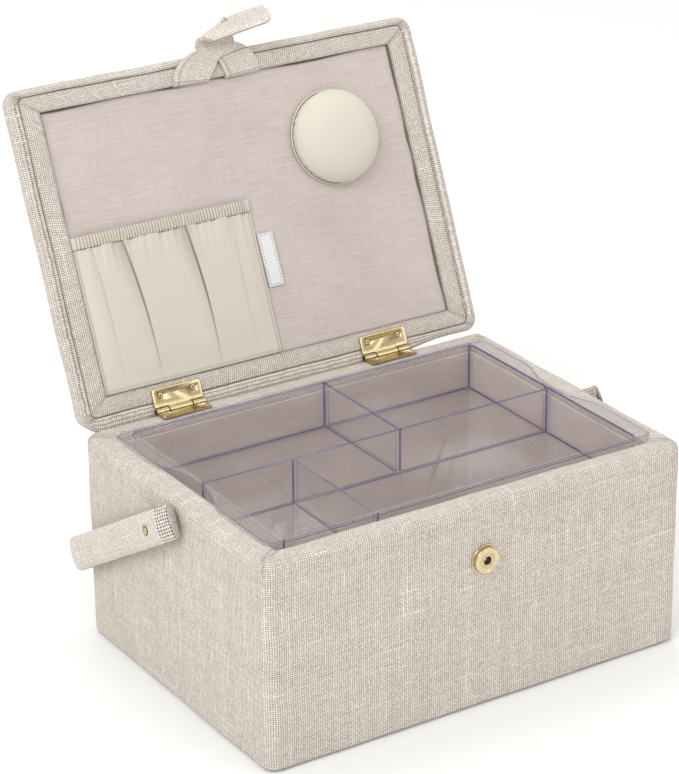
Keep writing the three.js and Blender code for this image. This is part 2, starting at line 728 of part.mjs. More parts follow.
const tape = block(-TAG.width / 2, TAG.width / 2, -TAG.length / 2, TAG.length / 2, 0, TAG.thick);
const tag = piece("label_tag", tape, WHITE_TAPE, lid);
tag.position.set(TAG.x, TAG.s, onLining);
tag.rotation.z = TAG.turn;

// Pincushion: a stuffed dome with a cord round its foot
const domeOutline = [
  [0, 0],
  [CUSHION.radius * CUSHION_FOOT_SHARE, 0],
  ...arc(0, 0, 1, 8, 84, 8).map(([r, z]) => [CUSHION.radius * r, CUSHION.height * z]),
  [0, CUSHION.height],
];
const dome = piece("pincushion", turned(domeOutline, WIDE_STEPS), CREAM, lid);
dome.position.set(CUSHION.x, CUSHION.s, onLining);
const cordRadius = CUSHION.radius + CUSHION.pipeRadius + SEAT;
const cord = piece(
  "pincushion_piping",
  positionsOnly(new THREE.TorusGeometry(cordRadius, CUSHION.pipeRadius, 6, WIDE_STEPS)),
  CREAM,
  lid,
);
cord.position.set(CUSHION.x, CUSHION.s, onLining + CUSHION.pipeRadius);

// Closure strap: two legs out of the lining that meet in a neck, and a tab folded over to the side
const legTop = BEND_S - LEG.thick / 2 - SEAT;
const rightOuter = LEG.outer - LEG.rightInset;
const neckHalf = NECK_WIDTH / 2;
const legOutline = [
  [-LEG.outer, LEG.foot],
  [-LEG.outer + LEG.width, LEG.foot],
  [LEG.apexX, LEG.apexS],
  [rightOuter - LEG.width, LEG.foot],
  [rightOuter, LEG.foot],
  [STRAP_X + neckHalf + NECK_FLARE, legTop - NECK_FLARE],
  [STRAP_X + neckHalf, legTop],
  [STRAP_X - neckHalf, legTop],
  [STRAP_X - neckHalf - NECK_FLARE, legTop - NECK_FLARE],
];
const strapBottom = STRAP_MID - LEG.thick / 2;
const extruded = (points, depth) =>
  new THREE.ExtrudeGeometry(new THREE.Shape(points.map(([x, y]) => new THREE.Vector2(x, y))), {
    depth,
    bevelEnabled: false,
  });
piece("strap_legs", solidOf(extruded(legOutline, LEG.thick).translate(0, 0, strapBottom)), LINEN, lid);
// The neck's near end is round about the line it bends on, and its outline lies in s and n
const neckOutline = [
  ...arc(BEND_S, STRAP_MID, LEG.thick / 2, 90, 270),
  [FOLD_S - NECK_END_ROOM, strapBottom],
  [FOLD_S - NECK_END_ROOM, strapBottom + LEG.thick],
];
const neck = extruded(neckOutline, NECK_WIDTH).rotateX(Math.PI / 2).rotateZ(Math.PI / 2);
piece("strap_neck", solidOf(neck.translate(STRAP_X - neckHalf, 0, 0)), LINEN, lid);
const tabGroup = new THREE.Group();
tabGroup.position.set(STRAP_X, FOLD_S, STRAP_MID);
const foldAxis = new THREE.Vector3(
  Math.cos(radians(FOLD_OUT_OF_PLANE)) * Math.cos(radians(FOLD_IN_PLANE)),
  Math.cos(radians(FOLD_OUT_OF_PLANE)) * Math.sin(radians(FOLD_IN_PLANE)),
  Math.sin(radians(FOLD_OUT_OF_PLANE)),
);
tabGroup.quaternion.setFromAxisAngle(foldAxis, radians(FOLD_ANGLE));
lid.add(tabGroup);
const tabHalf = TAB.width / 2;
const tabOutline = [
  [-tabHalf, TAB.start],
  [tabHalf, TAB.start],
  ...arc(tabHalf - TAB.corner, TAB.length - TAB.corner, TAB.corner, 0, 90),
  ...arc(TAB.corner - tabHalf, TAB.length - TAB.corner, TAB.corner, 90, 180),
];
const tabBody = extruded(tabOutline, TAB.thick).translate(0, 0, -TAB.thick / 2);
const postHole = bar(PLUG.post + SEAT, 0, TAB.snapAt, TAB.thick / 2 - PLUG.postLength - SEAT, TAB.thick + CUT);
piece("strap_tab", cutAll(tabBody, [postHole]), LINEN, tabGroup);
const plugOutline = [
  [0, -PLUG.postLength],
  [PLUG.post, -PLUG.postLength],
  [PLUG.post, SEAT],
  [PLUG.radius, SEAT],
  [PLUG.radius, SEAT + PLUG.thick],
  [PLUG.stud, SEAT + PLUG.thick],
  [PLUG.stud, SEAT + PLUG.thick + PLUG.studHeight],
  [0, SEAT + PLUG.thick + PLUG.studHeight],
];
const plug = piece("snap_plug", turned(plugOutline, WIDE_STEPS), BRASS, tabGroup);
plug.position.set(0, TAB.snapAt, TAB.thick / 2);

// Hinges: a rim leaf with the outer knuckles, a lid leaf with the middle one, a pin and four screws
function knuckle(from, to) {
  return bar(KNUCKLE.radius, 0, 0, from, to).rotateY(Math.PI / 2);
}
// A leaf with its barrel on the x axis, its plate reaching along +y and its outer face at the given height
function leaf(knuckles, { reach, screws }, plateBottom) {
  const halfLength = LEAF.length / 2;
  const outline = [
    [-halfLength, 0],
    [halfLength, 0],
    ...arc(halfLength - LEAF.corner, reach - LEAF.corner, LEAF.corner, 0, 90, 2),
    ...arc(LEAF.corner - halfLength, reach - LEAF.corner, LEAF.corner, 90, 180, 2),
  ];
  const barrelRoom = KNUCKLE.radius + KNUCKLE.gap;
  const flat = solidOf(extruded(outline, LEAF.thick).translate(0, 0, plateBottom));
  const bore = bar(KNUCKLE.bore, 0, 0, -LEAF.length, LEAF.length).rotateY(Math.PI / 2);
  const whole = [];
  const gaps = knuckles.gaps.map(([from, to]) => block(from, to, -barrelRoom, barrelRoom, -CUT, CUT));
  const cutBack = gaps.reduce((left, gap) => left.subtract(solidOf(gap)), flat);
  whole.push(...knuckles.barrels.map(([from, to]) => solidOf(knuckle(from, to))));
  let made = whole.reduce((sum, barrel) => sum.add(barrel), cutBack).subtract(solidOf(bore));
  for (const x of [-SCREW.spread, SCREW.spread]) {
    made = made.subtract(solidOf(bar(screwHole, x, screws, -CUT, CUT)));
    const sinkFrom = plateBottom + LEAF.thick - SCREW.sink;
    made = made.subtract(solidOf(bar(SCREW.head + SCREW.headRoom, x, screws, sinkFrom, sinkFrom + CUT)));
  }
  return made;
}
const middle = KNUCKLE.middle / 2;
const end = LEAF.length / 2;
const lowerKnuckles = {
  barrels: [[-end, -middle - KNUCKLE.gap], [middle + KNUCKLE.gap, end]],
  gaps: [[-middle - KNUCKLE.gap, middle + KNUCKLE.gap]],
};
const upperKnuckles = {
  barrels: [[-middle, middle]],
  gaps: [[-end - CUT, -middle], [middle, end + CUT]],
};
function screw(length) {
  return turned([
    [0, -length],
    [SCREW.shank, SCREW.shank - length],
    [SCREW.shank, -SCREW.headThick],
    [SCREW.head, -SCREW.headThick],
    [SCREW.head, 0],
    [0, 0],
  ]);
}
HINGE_XS.forEach((x, i) => {
  const side = HINGE_NAMES[i];
  const lowerLeaf = leaf(lowerKnuckles, LOWER_LEAF, leafBottom - HINGE_Z);
  const lower = piece(`hinge_${side}_lower_leaf`, lowerLeaf, BRASS, part);
  lower.position.set(x, HINGE_Y, HINGE_Z);
  lower.scale.y = -1;
  const pin = bar(PIN_RADIUS, 0, 0, -end, end).rotateY(Math.PI / 2);
  piece(`hinge_${side}_pin`, pin, BRASS, part).position.set(x, HINGE_Y, HINGE_Z);
  const lidHingeN = BOX_HEIGHT + LID_GAP - HINGE_Z;
  const upperLeaf = leaf(upperKnuckles, UPPER_LEAF, SEAT - lidHingeN);
  const upper = piece(`hinge_${side}_upper_leaf`, upperLeaf, BRASS, lid);
  upper.position.set(x, lidHingeS, lidHingeN);
  screwXs[i].forEach((screwX, j) => {
    const low = piece(`hinge_${side}_lower_screw_${j + 1}`, screw(BOX_SCREW_LENGTH), BRASS, part);
    low.position.set(screwX, boxScrewY, leafTop);
    const high = piece(`hinge_${side}_upper_screw_${j + 1}`, screw(LID_SCREW_LENGTH), BRASS, lid);
    high.position.set(screwX, lidScrewS, SEAT + LEAF.thick);
  });
});

// Handle: stations along the middle of the band, as x and the distance from the rivets
const armX = HALF_WIDTH + ARM_OFFSET;
const TIP_STEPS = 4;
const BEND_STEPS = 5;
function halfPath(tipReach, tipOffset) {
  const tipX = HALF_WIDTH + tipOffset;
  const tip = Array.from({ length: TIP_STEPS + 1 }, (_, i) => {
    const share = i / TIP_STEPS;
    return [-tipX - (armX - tipX) * ease(share), -tipReach + TIP_EASE * share];
  });
  const bend = arc(HANDLE_BEND - armX, HANDLE_REACH - HANDLE_BEND, HANDLE_BEND, 180, 90, BEND_STEPS);
  return [...tip, ...bend];
}
function bandSolid(thick, width, round, tipReach, steps) {
  const left = halfPath(tipReach, TIP_OFFSETS.left);
  const right = halfPath(tipReach, TIP_OFFSETS.right).reverse().map(([x, a]) => [-x, a]);
  const path = [...left, ...right].map(([x, a]) => new THREE.Vector2(x, a));
  const section = [
    ...arc(thick / 2 - round, width / 2 - round, round, 0, 90, steps),
    ...arc(round - thick / 2, width / 2 - round, round, 90, 180, steps),
    ...arc(round - thick / 2, round - width / 2, round, 180, 270, steps),
    ...arc(thick / 2 - round, round - width / 2, round, 270, 360, steps),
  ];
  const rows = path.map((point, i) => {
    const before = path[Math.max(i - 1, 0)];
    const after = path[Math.min(i + 1, path.length - 1)];
    const along = after.clone().sub(before).normalize();
    const out = new THREE.Vector2(along.y, -along.x);
    return section.map(([o, up]) => new THREE.Vector3(point.x + out.x * o, point.y + out.y * o, up));
  });
  return surface(rows, false);
}
const handle = new THREE.Group();
handle.position.set(0, HANDLE_PIVOT.y, HANDLE_PIVOT.z);
handle.rotation.x = -radians(HANDLE_DROOP);
part.add(handle);
const pivotHole = bar(RIVET.shank + SEAT, 0, 0, -armX - CUT, armX + CUT).rotateY(Math.PI / 2);
const cavityThick = BAND.thick - 2 * BAND.cloth;
const cavityWidth = BAND.width - 2 * BAND.cloth;
const cavity = bandSolid(cavityThick, cavityWidth, BAND.round / 2, TIP_REACH - BAND.cloth, 1);
const bandShell = bandSolid(BAND.thick, BAND.width, BAND.round, TIP_REACH, 2);
piece("handle_cover", cutAll(bandShell, [cavity, pivotHole]), LINEN, handle);
const coreTip = TIP_REACH - BAND.cloth - SEAT;
const core = bandSolid(cavityThick - 2 * SEAT, cavityWidth - 2 * SEAT, BAND.round / 2, coreTip, 1);
piece("handle_core", cutAll(core, [pivotHole]), CARD, handle);

// Handle rivets and the washers behind the end boards
const rivetFoot = -END_WALL.inner;
const rivetHead = ARM_OFFSET + BAND.thick / 2 + SEAT;
const rivetDome = arc(0, 0, 1, 20, 70, 3).map(([r, z]) => [RIVET.head * r, rivetHead + RIVET.dome * z]);
const rivetOutline = [
  [0, rivetFoot],
  [RIVET.shank, rivetFoot],
  [RIVET.shank, rivetHead],
  [RIVET.head, rivetHead],
  ...rivetDome,
  [0, rivetHead + RIVET.dome],
];
const washerRing = cutAll(bar(RIVET.washer, 0, 0, rivetFoot, rivetFoot + RIVET.washerThick), [
  bar(RIVET.shank + SEAT, 0, 0, rivetFoot - CUT, CUT),
]);
[["left", -1], ["right", 1]].forEach(([name, side]) => {
  const rivet = piece(`handle_rivet_${name}`, turned(rivetOutline), BRASS, part);
  const washer = piece(`rivet_washer_${name}`, washerRing, BRASS, part);
  [rivet, washer].forEach((mesh) => {
    mesh.rotation.y = (side * Math.PI) / 2;
    mesh.position.set(side * HALF_WIDTH, HANDLE_PIVOT.y, HANDLE_PIVOT.z);
  });
});

export default part;
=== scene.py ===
"""Dressed model of a padded, linen-covered sewing box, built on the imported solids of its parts.

Sizes are in millimetres in the classes below and become metres when a mesh is made. The lid's pieces are
worked out in the lid's own frame: x across, s from the hinge edge to the free edge, n out of its inner face.
"""

import enum
import logging
import math
from dataclasses import dataclass
from typing import Callable, Optional, Sequence, Union

import bmesh
import bpy
import numpy as np
from mathutils import Matrix, Vector

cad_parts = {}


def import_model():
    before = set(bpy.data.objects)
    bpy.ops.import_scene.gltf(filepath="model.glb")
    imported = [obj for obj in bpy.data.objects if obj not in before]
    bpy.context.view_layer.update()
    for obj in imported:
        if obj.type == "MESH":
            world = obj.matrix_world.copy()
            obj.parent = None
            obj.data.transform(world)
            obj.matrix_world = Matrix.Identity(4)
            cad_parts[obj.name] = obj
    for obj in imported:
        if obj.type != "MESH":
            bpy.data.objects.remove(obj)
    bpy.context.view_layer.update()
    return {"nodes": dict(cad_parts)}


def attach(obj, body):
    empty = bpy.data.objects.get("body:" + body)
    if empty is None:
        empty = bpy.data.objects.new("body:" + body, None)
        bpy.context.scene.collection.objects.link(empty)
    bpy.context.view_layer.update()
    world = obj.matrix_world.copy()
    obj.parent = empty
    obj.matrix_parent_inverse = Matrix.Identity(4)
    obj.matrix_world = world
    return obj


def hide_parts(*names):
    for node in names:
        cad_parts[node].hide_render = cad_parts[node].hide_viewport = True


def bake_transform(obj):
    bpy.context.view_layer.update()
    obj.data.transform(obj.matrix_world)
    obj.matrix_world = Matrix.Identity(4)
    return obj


MM = 0.001
WELD = 1e-6  # metres: corners closer than this are one
LOG = logging.getLogger("sewing_box")

Array = np.ndarray
Numbers = Sequence[float]
Socket = bpy.types.NodeSocket
Material = bpy.types.Material
Thing = bpy.types.Object


class Held(enum.Enum):
    """How a sheet of cloth is held."""

    GATHERED = "gathered"
    STRETCHED = "stretched"
    LAID = "laid"


class Side(enum.Enum):
    """An end of the box: its name and which way it faces along x."""

    LEFT = -1
    RIGHT = 1

    @property
    def word(self) -> str:
        """The side's name as the solids spell it."""
        return self.name.lower()


@dataclass(frozen=True)
class Plan:
    """Sizes that several sub-assemblies share, in millimetres.

    Attributes:
        width: width of the case.
        depth: depth of the case.
        height: height of the rim.
        seat: room left between pieces that touch.
        strap_x: x of the strap's middle and of the snap.
        hinge_inset: how far the hinges' line is in from the case's back.
        hinge_rise: how far it is over the rim, which is also the barrels' radius.
        lid_gap: room between the rim and the shut lid.
        open_angle: degrees that the lid is open.
        rest_end: x at which the open lid no longer rests on the rim at all.
        rest_fade: stretch over which it rests less and less.
        rest_start: how far in from the left-hand corner it starts to rest.
        rest_ease: stretch over which it starts.
    """

    width: float = 255.0
    depth: float = 185.0
    height: float = 116.5
    seat: float = 0.3
    strap_x: float = 1.0
    hinge_inset: float = 1.5
    hinge_rise: float = 1.25
    lid_gap: float = 2.5
    open_angle: float = 113.5
    rest_end: float = 102.0
    rest_fade: float = 30.0
    rest_start: float = 3.0
    rest_ease: float = 8.0

    @property
    def half_width(self) -> float:
        """Half of the box's width."""
        return self.width / 2

    @property
    def half_depth(self) -> float:
        """Half of the box's depth."""
        return self.depth / 2


PLAN = Plan()


# Surfaces


@dataclass
class Patch:
    """A grid of points, the place of each in the cloth, and how deep in a crease each lies.

    Attributes:
        points: rows by columns by x, y, z, in millimetres.
        cloth: rows by columns by two lengths along the cloth, in millimetres: x and y where none is given.
        crease: rows by columns, from 0 on open cloth to 1 in the bottom of a crease; the finishes paint shade
            by it.
    """

    points: Array
    cloth: Optional[Array] = None
    crease: Optional[Array] = None

    def __post_init__(self) -> None:
        """Lays the cloth flat in x and y, and leaves it without creases, where nothing else is given."""
        if self.cloth is None:
            self.cloth = self.points[..., :2].copy()
        if self.crease is None:
            self.crease = np.zeros(self.points.shape[:2])

    def moved(self, place: Callable[[Array], Array]) -> "Patch":
        """The same patch with its points carried through a placement."""
        return Patch(place(self.points), self.cloth, self.crease)


def arc(inset: float, height: float, radius: float, start: float, stop: float, steps: int = 8) -> Array:
    """Points on an arc: inset + radius * cos t and height + radius * sin t, t in degrees."""
    turn = np.radians(np.linspace(start, stop, steps + 1))
    return np.stack([inset + radius * np.cos(turn), height + radius * np.sin(turn)], axis=1)


def joined(*pieces: Union[Array, Sequence[Numbers]]) -> Array:
    """Pieces of an outline, end to end."""
    return np.concatenate([np.atleast_2d(np.asarray(piece, float)) for piece in pieces])


def refined(outlines: Sequence[Array], step: float) -> list[Array]:
    """Paired outlines with points added so that the first has no stretch longer than a step.

    Args:
        outlines: outlines with the same number of points.
        step: longest stretch left, in millimetres.

    Returns:
        The outlines, each interpolated at the same places.
    """
    lengths = np.linalg.norm(np.diff(outlines[0], axis=0), axis=1)
    counts = np.maximum(np.ceil(lengths / step).astype(int), 1)
    places = [i + np.arange(count) / count for i, count in enumerate(counts)]
    places = np.concatenate([*places, [float(len(lengths))]])
    knots = np.arange(len(lengths) + 1)
    return [np.stack([np.interp(places, knots, column) for column in o.T], axis=1) for o in outlines]


def run(outline: Array) -> Array:
    """Distance along an outline from its first point to each point."""
    return np.concatenate([[0.0], np.cumsum(np.linalg.norm(np.diff(outline, axis=0), axis=1))])


def smooth(share: Array) -> Array:
    """3 t squared - 2 t cubed, with t held between 0 and 1."""
    held = np.clip(share, 0.0, 1.0)
    return held * held * (3.0 - 2.0 * held)


def ridge(offset: Array, width: Union[float, Array]) -> Array:
    """1 on a line, falling on both sides of it: exp(-(offset / width) squared)."""
    return np.exp(-((offset / width) ** 2))


def bezier(start: Numbers, pull: Numbers, draw: Numbers, end: Numbers, t: Array) -> Array:
    """Cubic Bezier curve from start to end, pulled towards the two points between.

    Args:
        start: first point.
        pull: point that sets the way the curve leaves.
        draw: point that sets the way it arrives.
        end: last point.
        t: shares of the curve, from 0 to 1.

    Returns:
        One point for each share.
    """
    a, b, c, d = (np.asarray(point, float) for point in (start, pull, draw, end))
    t = t[:, None]
    return (1 - t) ** 3 * a + 3 * (1 - t) ** 2 * t * b + 3 * (1 - t) * t**2 * c + t**3 * d


def distance_to_line(points: Array, line: Array) -> Array:
    """Shortest distance from each point to a line of joined stretches.

    Args:
        points: any shape ending in 2 coordinates.
        line: the line's corners.

    Returns:
        Distances in the shape of points without its last axis.
    """
    starts, ways = line[:-1], np.diff(line, axis=0)
    offset = points[..., None, :] - starts
    share = np.clip((offset * ways).sum(-1) / (ways**2).sum(-1), 0.0, 1.0)
    return np.linalg.norm(offset - share[..., None] * ways, axis=-1).min(-1)


def rippled(points: Array, amount: float, span: float) -> Array:
    """Soft cloth: each coordinate gains a slow wave, the sum of two sines of the other coordinates.

    Args:
        points: grid of points.
        amount: height of the wave.
        span: length over which it turns.

    Returns:
        The moved grid.
    """
    x, y, z = (points[..., k] / span for k in range(3))
    wave = np.stack(
        [
            np.sin(1.3 * y + 2.1 * z + 0.7) + np.sin(2.9 * z - 1.7 * y),
            np.sin(1.1 * x + 2.3 * z + 2.0) + np.sin(2.7 * x - 1.9 * z),
            np.sin(1.7 * x + 1.2 * y + 1.1) + np.sin(2.3 * y - 2.6 * x),
        ],
        axis=-1,
    )
    return points + amount / 2 * wave


@dataclass(frozen=True)
class Ring:
    """Columns round a rounded rectangle, shared by every loop of a piece, closer together near the corners.

    Attributes:
        corner_steps: chords in each corner.
        side_steps: stretches along each side.
    """

    corner_steps: int = 12
    side_steps: int = 36

    def columns(self) -> tuple[Array, Array, Array]:
        """Where each column runs.

        Returns:
            Its share of the straight half sides along x and along y, and its angle in a corner.
        """
        corners = np.array([[1, 1], [-1, 1], [-1, -1], [1, -1]], float)
        lean = (1 - np.cos(np.pi * np.arange(1, self.side_steps) / self.side_steps)) / 2
        along, turn = [], []
        for quarter, (here, there) in enumerate(zip(corners, np.roll(corners, -1, axis=0))):
            steps = np.arange(self.corner_steps + 1) / self.corner_steps
            along += [np.repeat(here[None], len(steps), axis=0), here + lean[:, None] * (there - here)]
            turn += [quarter + steps, np.full(len(lean), quarter + 1.0)]
        shares = np.concatenate([*along, corners[:1]])
        return shares[:, 0], shares[:, 1], np.concatenate([*turn, [4.0]]) * np.pi / 2

    def loops(
        self, half_x: Array, half_y: Array, corner: Array, end_z: Array, long_z: Array, mid_y: float = 0.0
    ) -> Array:
        """Loops round a rectangle, whose straight sides end a corner's radius short.

        z = end_z * cos squared + long_z * sin squared of the column's angle.

        Args:
            half_x: half length of each loop along x.
            half_y: half length of each loop along y.
            corner: corner radius of each loop.
            end_z: height of each loop on the end sides.
            long_z: height of each loop on the long sides.
            mid_y: where the middle of the loops is along y.

        Returns:
            Loops by columns by x, y, z.
        """
        along_x, along_y, turn = self.columns()
        half_x, half_y, corner, end_z, long_z = (
            np.broadcast_to(np.asarray(v, float), np.shape(end_z))[:, None]
            for v in (half_x, half_y, corner, end_z, long_z)
        )
        x = (half_x - corner) * along_x + corner * np.cos(turn)
        y = (half_y - corner) * along_y + corner * np.sin(turn) + mid_y
        z = end_z * np.cos(turn) ** 2 + long_z * np.sin(turn) ** 2
        return np.stack([x, y, z], axis=-1)


def round_cloth(points: Array, section: Array, reference: int) -> Array:
    """Place in a cloth wound round a box: distance along one loop, and distance along the section.

    Args:
        points: loops by columns.
        section: the outline that made the loops.
        reference: which loop is measured.

    Returns:
        Loops by columns by 2.
    """
    around = run(points[reference, :, :2])
    down = run(section)
    return np.stack(np.broadcast_arrays(around[None, :], down[:, None]), axis=-1)


def spread_cloth(points: Array, section: Array, reference: int, turn: Array) -> Array:
    """Place in a cloth laid flat over a panel and folded down its edges.

    Inside the reference loop it is x and y. Outside it, x and y of that loop plus the distance along the
    section, in the direction in which the edge faces.

    Args:
        points: loops by columns.
        section: the outline that made the loops.
        reference: the loop at which the cloth starts to fold down.
        turn: angle of each column.

    Returns:
        Loops by columns by 2.
    """
    beyond = np.maximum(run(section) - run(section)[reference], 0.0)
    facing = np.stack([np.cos(turn), np.sin(turn)], axis=-1)
    inside = (np.arange(len(points)) < reference)[:, None, None]
    flat = np.where(inside, points[..., :2], points[reference, :, :2])
    return flat + beyond[:, None, None] * facing


def turned(outline: Array, steps: int) -> Patch:
    """A turned piece about z: x = r cos t, y = r sin t, z from the outline of radius and height pairs.

    Args:
        outline: radius and height pairs, from the axis to the axis.
        steps: how many columns.

    Returns:
        The patch, closed round the axis.
    """
    turn = np.linspace(0.0, 2 * np.pi, steps + 1)
    radius, height = outline[:, :1], outline[:, 1:]
    points = np.stack(np.broadcast_arrays(radius * np.cos(turn), radius * np.sin(turn), height), axis=-1)
    cloth = np.stack(np.broadcast_arrays(radius.max() * turn[None, :], run(outline)[:, None]), axis=-1)
    return Patch(points, cloth)


def grid_faces(rows: int, columns: int, start: int) -> Array:
    """Corner numbers of the quads between neighbouring rows and columns.

    Args:
        rows: rows in the grid.
        columns: columns in the grid.
        start: number of the grid's first point.

    Returns:
        Quads by 4.
    """
    corner = start + np.arange(rows - 1)[:, None] * columns + np.arange(columns - 1)
    quads = np.stack([corner, corner + 1, corner + columns + 1, corner + columns], axis=-1)
    return quads.reshape(-1, 4)


def mesh_of(name: str, patches: Sequence[Patch], facing: Optional[Numbers] = None) -> bpy.types.Mesh:
    """A mesh of patches, welded where their points meet and turned outwards.

    Args:
        name: name of the mesh.
        patches: the patches, in millimetres.
        facing: for open sheets, the way their front faces. Closed pieces turn outwards by themselves.

    Returns:
        The mesh, in metres, with the UV map "cloth" and the attribute "crease".
    """
    starts = np.cumsum([0, *(p.points.shape[0] * p.points.shape[1] for p in patches)])
    faces = np.concatenate([grid_faces(*p.points.shape[:2], start) for p, start in zip(patches, starts)])
    corners = np.concatenate([p.points.reshape(-1, 3) for p in patches]) * MM
    cloth = np.concatenate([p.cloth.reshape(-1, 2) for p in patches]) * MM
    mesh = bpy.data.meshes.new(name)
    mesh.from_pydata(corners.tolist(), [], faces.tolist())
    mesh.uv_layers.new(name="cloth").data.foreach_set("uv", cloth[faces.ravel()].astype(np.float32).ravel())
    crease = mesh.attributes.new("crease", "FLOAT", "POINT")
    crease.data.foreach_set("value", np.concatenate([p.crease.ravel() for p in patches]).astype(np.float32))
    shell = bmesh.new()
    shell.from_mesh(mesh)
    bmesh.ops.remove_doubles(shell, verts=shell.verts, dist=WELD)
    bmesh.ops.dissolve_degenerate(shell, edges=shell.edges, dist=WELD)
    bmesh.ops.recalc_face_normals(shell, faces=shell.faces)
    if facing is not None:
        lean = sum((face.normal * face.calc_area() for face in shell.faces), Vector()).dot(Vector(facing))
        if lean < 0:
            bmesh.ops.reverse_faces(shell, faces=shell.faces)
    shell.to_mesh(mesh)
    shell.free()
    return mesh


@dataclass
class Piece:
    """What a new piece is called, what it is made of, and what it stands for.

    Attributes:
        name: name of the piece.
        body: the moving body that it rides on.
        finish: its material.
        slot: the record's slot that the finish belongs to; not used.
        stands_for: solids that it replaces.
        crisp: edges sharper than this, in degrees, stay sharp.
    """

    name: str
    body: Optional[str]
    finish: Material
    slot: str
    stands_for: Sequence[str] = ()
    crisp: float = 50.0

    def of_patches(self, patches: Sequence[Patch], facing: Optional[Numbers] = None) -> Thing:
        """Builds the piece from patches; facing is the way the front of an open sheet faces."""
        return self.of_mesh(mesh_of(self.name, patches, facing))

    def of_mesh(self, mesh: bpy.types.Mesh) -> Thing:
        """Makes the object, shades it, and tells the frame what it rides on and replaces.

        Args:
            mesh: the mesh, in place.

        Returns:
            The finished object.
        """
        thing = bpy.data.objects.new(self.name, mesh)
        bpy.context.scene.collection.objects.link(thing)
        mesh.materials.clear()
        mesh.materials.append(self.finish)
        mesh.shade_smooth()
        mesh.set_sharp_from_angle(angle=math.radians(self.crisp))
        if self.stands_for:
            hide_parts(*self.stands_for)
        if self.body:
            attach(thing, self.body)
        LOG.info("%s: %d faces", self.name, len(mesh.polygons))
        return thing


def thickened(
    thing: Thing,
    thick: float,
    offset: float = -1.0,
    soft: float = 0.0,
    rim: Optional[Material] = None,
) -> None:
    """Gives an open sheet its thickness, and rounds its edges if soft is given.

    Args:
        thing: the sheet.
        thick: thickness in millimetres.
        offset: -1 to grow behind the front face, 0 to grow both ways.
        soft: radius of the rounded edge in millimetres.
        rim: finish of the edge, or None for that of the sheet.
    """
    wall = thing.modifiers.new("thickness", "SOLIDIFY")
    if rim:
        thing.data.materials.append(rim)
        wall.material_offset_rim = 1
    wall.thickness = thick * MM
    wall.offset = offset
    if soft:
        edge = thing.modifiers.new("soft edge", "BEVEL")
        edge.width = soft * MM
        edge.segments = 3
        edge.limit_method = "ANGLE"
        edge.angle_limit = math.radians(50)


def solid_copy(node: Thing, name: str) -> bpy.types.Mesh:
    """A merged copy of a solid's mesh, its flat faces joined as far as they stay convex.

    Args:
        node: the solid.
        name: name of the copy.

    Returns:
        The copy, in metres.
    """
    mesh = node.data.copy()
    mesh.name = name
    shell = bmesh.new()
    shell.from_mesh(mesh)
    bmesh.ops.remove_doubles(shell, verts=shell.verts, dist=WELD)
    bmesh.ops.dissolve_limit(shell, angle_limit=math.radians(1), verts=shell.verts, edges=shell.edges)
    bmesh.ops.connect_verts_concave(shell, faces=shell.faces)
    shell.to_mesh(mesh)
    shell.free()
    return mesh


def read(items: bpy.types.bpy_prop_collection, name: str, width: int = 1, kind: type = float) -> Array:
    """One value of every corner, edge, face or loop of a mesh.

    Args:
        items: the mesh's corners, edges, faces or loops.
        name: name of the value.
        width: how many numbers it has.
        kind: type of the numbers.

    Returns:
        One row for each item, or one number where the width is 1.
    """
    values = np.empty(width * len(items), dtype=kind)
    items.foreach_get(name, values)
    return values.reshape(-1, width) if width > 1 else values


def edge_weights(mesh: bpy.types.Mesh, sharp: float, outside: float = 1.0) -> Array:
    """How widely each edge is rounded: fully in a corner, less round the outside, and not where it is flat.

    The faces a and b of an edge meet in a corner where (centre of b - centre of a) . normal of a > 0.

    Args:
        mesh: the closed mesh.
        sharp: faces that meet at more than this many degrees are rounded.
        outside: weight of outer edges.

    Returns:
        One weight for each edge.
    """
    normals, centres = read(mesh.polygons, "normal", 3), read(mesh.polygons, "center", 3)
    sizes = read(mesh.polygons, "loop_total", kind=np.int32)
    edges = read(mesh.loops, "edge_index", kind=np.int32)
    owners = np.repeat(np.arange(len(sizes)), sizes)
    first, second = owners[np.argsort(edges, kind="stable")].reshape(-1, 2).T
    level = np.sum(normals[first] * normals[second], axis=1) > math.cos(math.radians(sharp))
    inner = np.sum((centres[second] - centres[first]) * normals[first], axis=1) > 0
    return np.where(level, 0.0, np.where(inner, 1.0, outside))


def corner_points(mesh: bpy.types.Mesh) -> Array:
    """Every corner point of a mesh, in millimetres."""
    return read(mesh.vertices, "co", 3) / MM


def bevelled(thing: Thing, width: float, weights: Array, material: int = -1) -> None:
    """Rounds a hard piece's edges.

    Args:
        thing: the piece.
        width: width of the rounding in millimetres.
        weights: share of it for each edge.
        material: slot that the rounding takes, or -1 for its neighbours'.
    """
    shares = thing.data.attributes.new("bevel_weight_edge", "FLOAT", "EDGE")
    shares.data.foreach_set("value", weights.astype(np.float32))
    edge = thing.modifiers.new("rounded edges", "BEVEL")
    edge.width = width * MM
    edge.segments = 2
    edge.limit_method = "WEIGHT"
    edge.use_clamp_overlap = False
    edge.material = material
    edge.harden_normals = True


# The lid's frame


def lid_place(points: Array) -> Array:
    """World place of points given as x, s, n in the lid's frame.

    The lid's face is turned over about the hinge: y0 = inset - s and z0 = gap - rise - n, then both turn
    back by the open angle about the hinge line.

    Args:
        points: any shape ending in x, s, n, in millimetres.

    Returns:
        The same shape ending in x, y, z.
    """
    turn = math.radians(PLAN.open_angle)
    x, s, n = (points[..., k] for k in range(3))
    y0 = PLAN.hinge_inset - s
    z0 = PLAN.lid_gap - PLAN.hinge_rise - n
    y = PLAN.half_depth - PLAN.hinge_inset + y0 * math.cos(turn) + z0 * math.sin(turn)
    z = PLAN.height + PLAN.hinge_rise - y0 * math.sin(turn) + z0 * math.cos(turn)
    return np.stack([x, y, z], axis=-1)


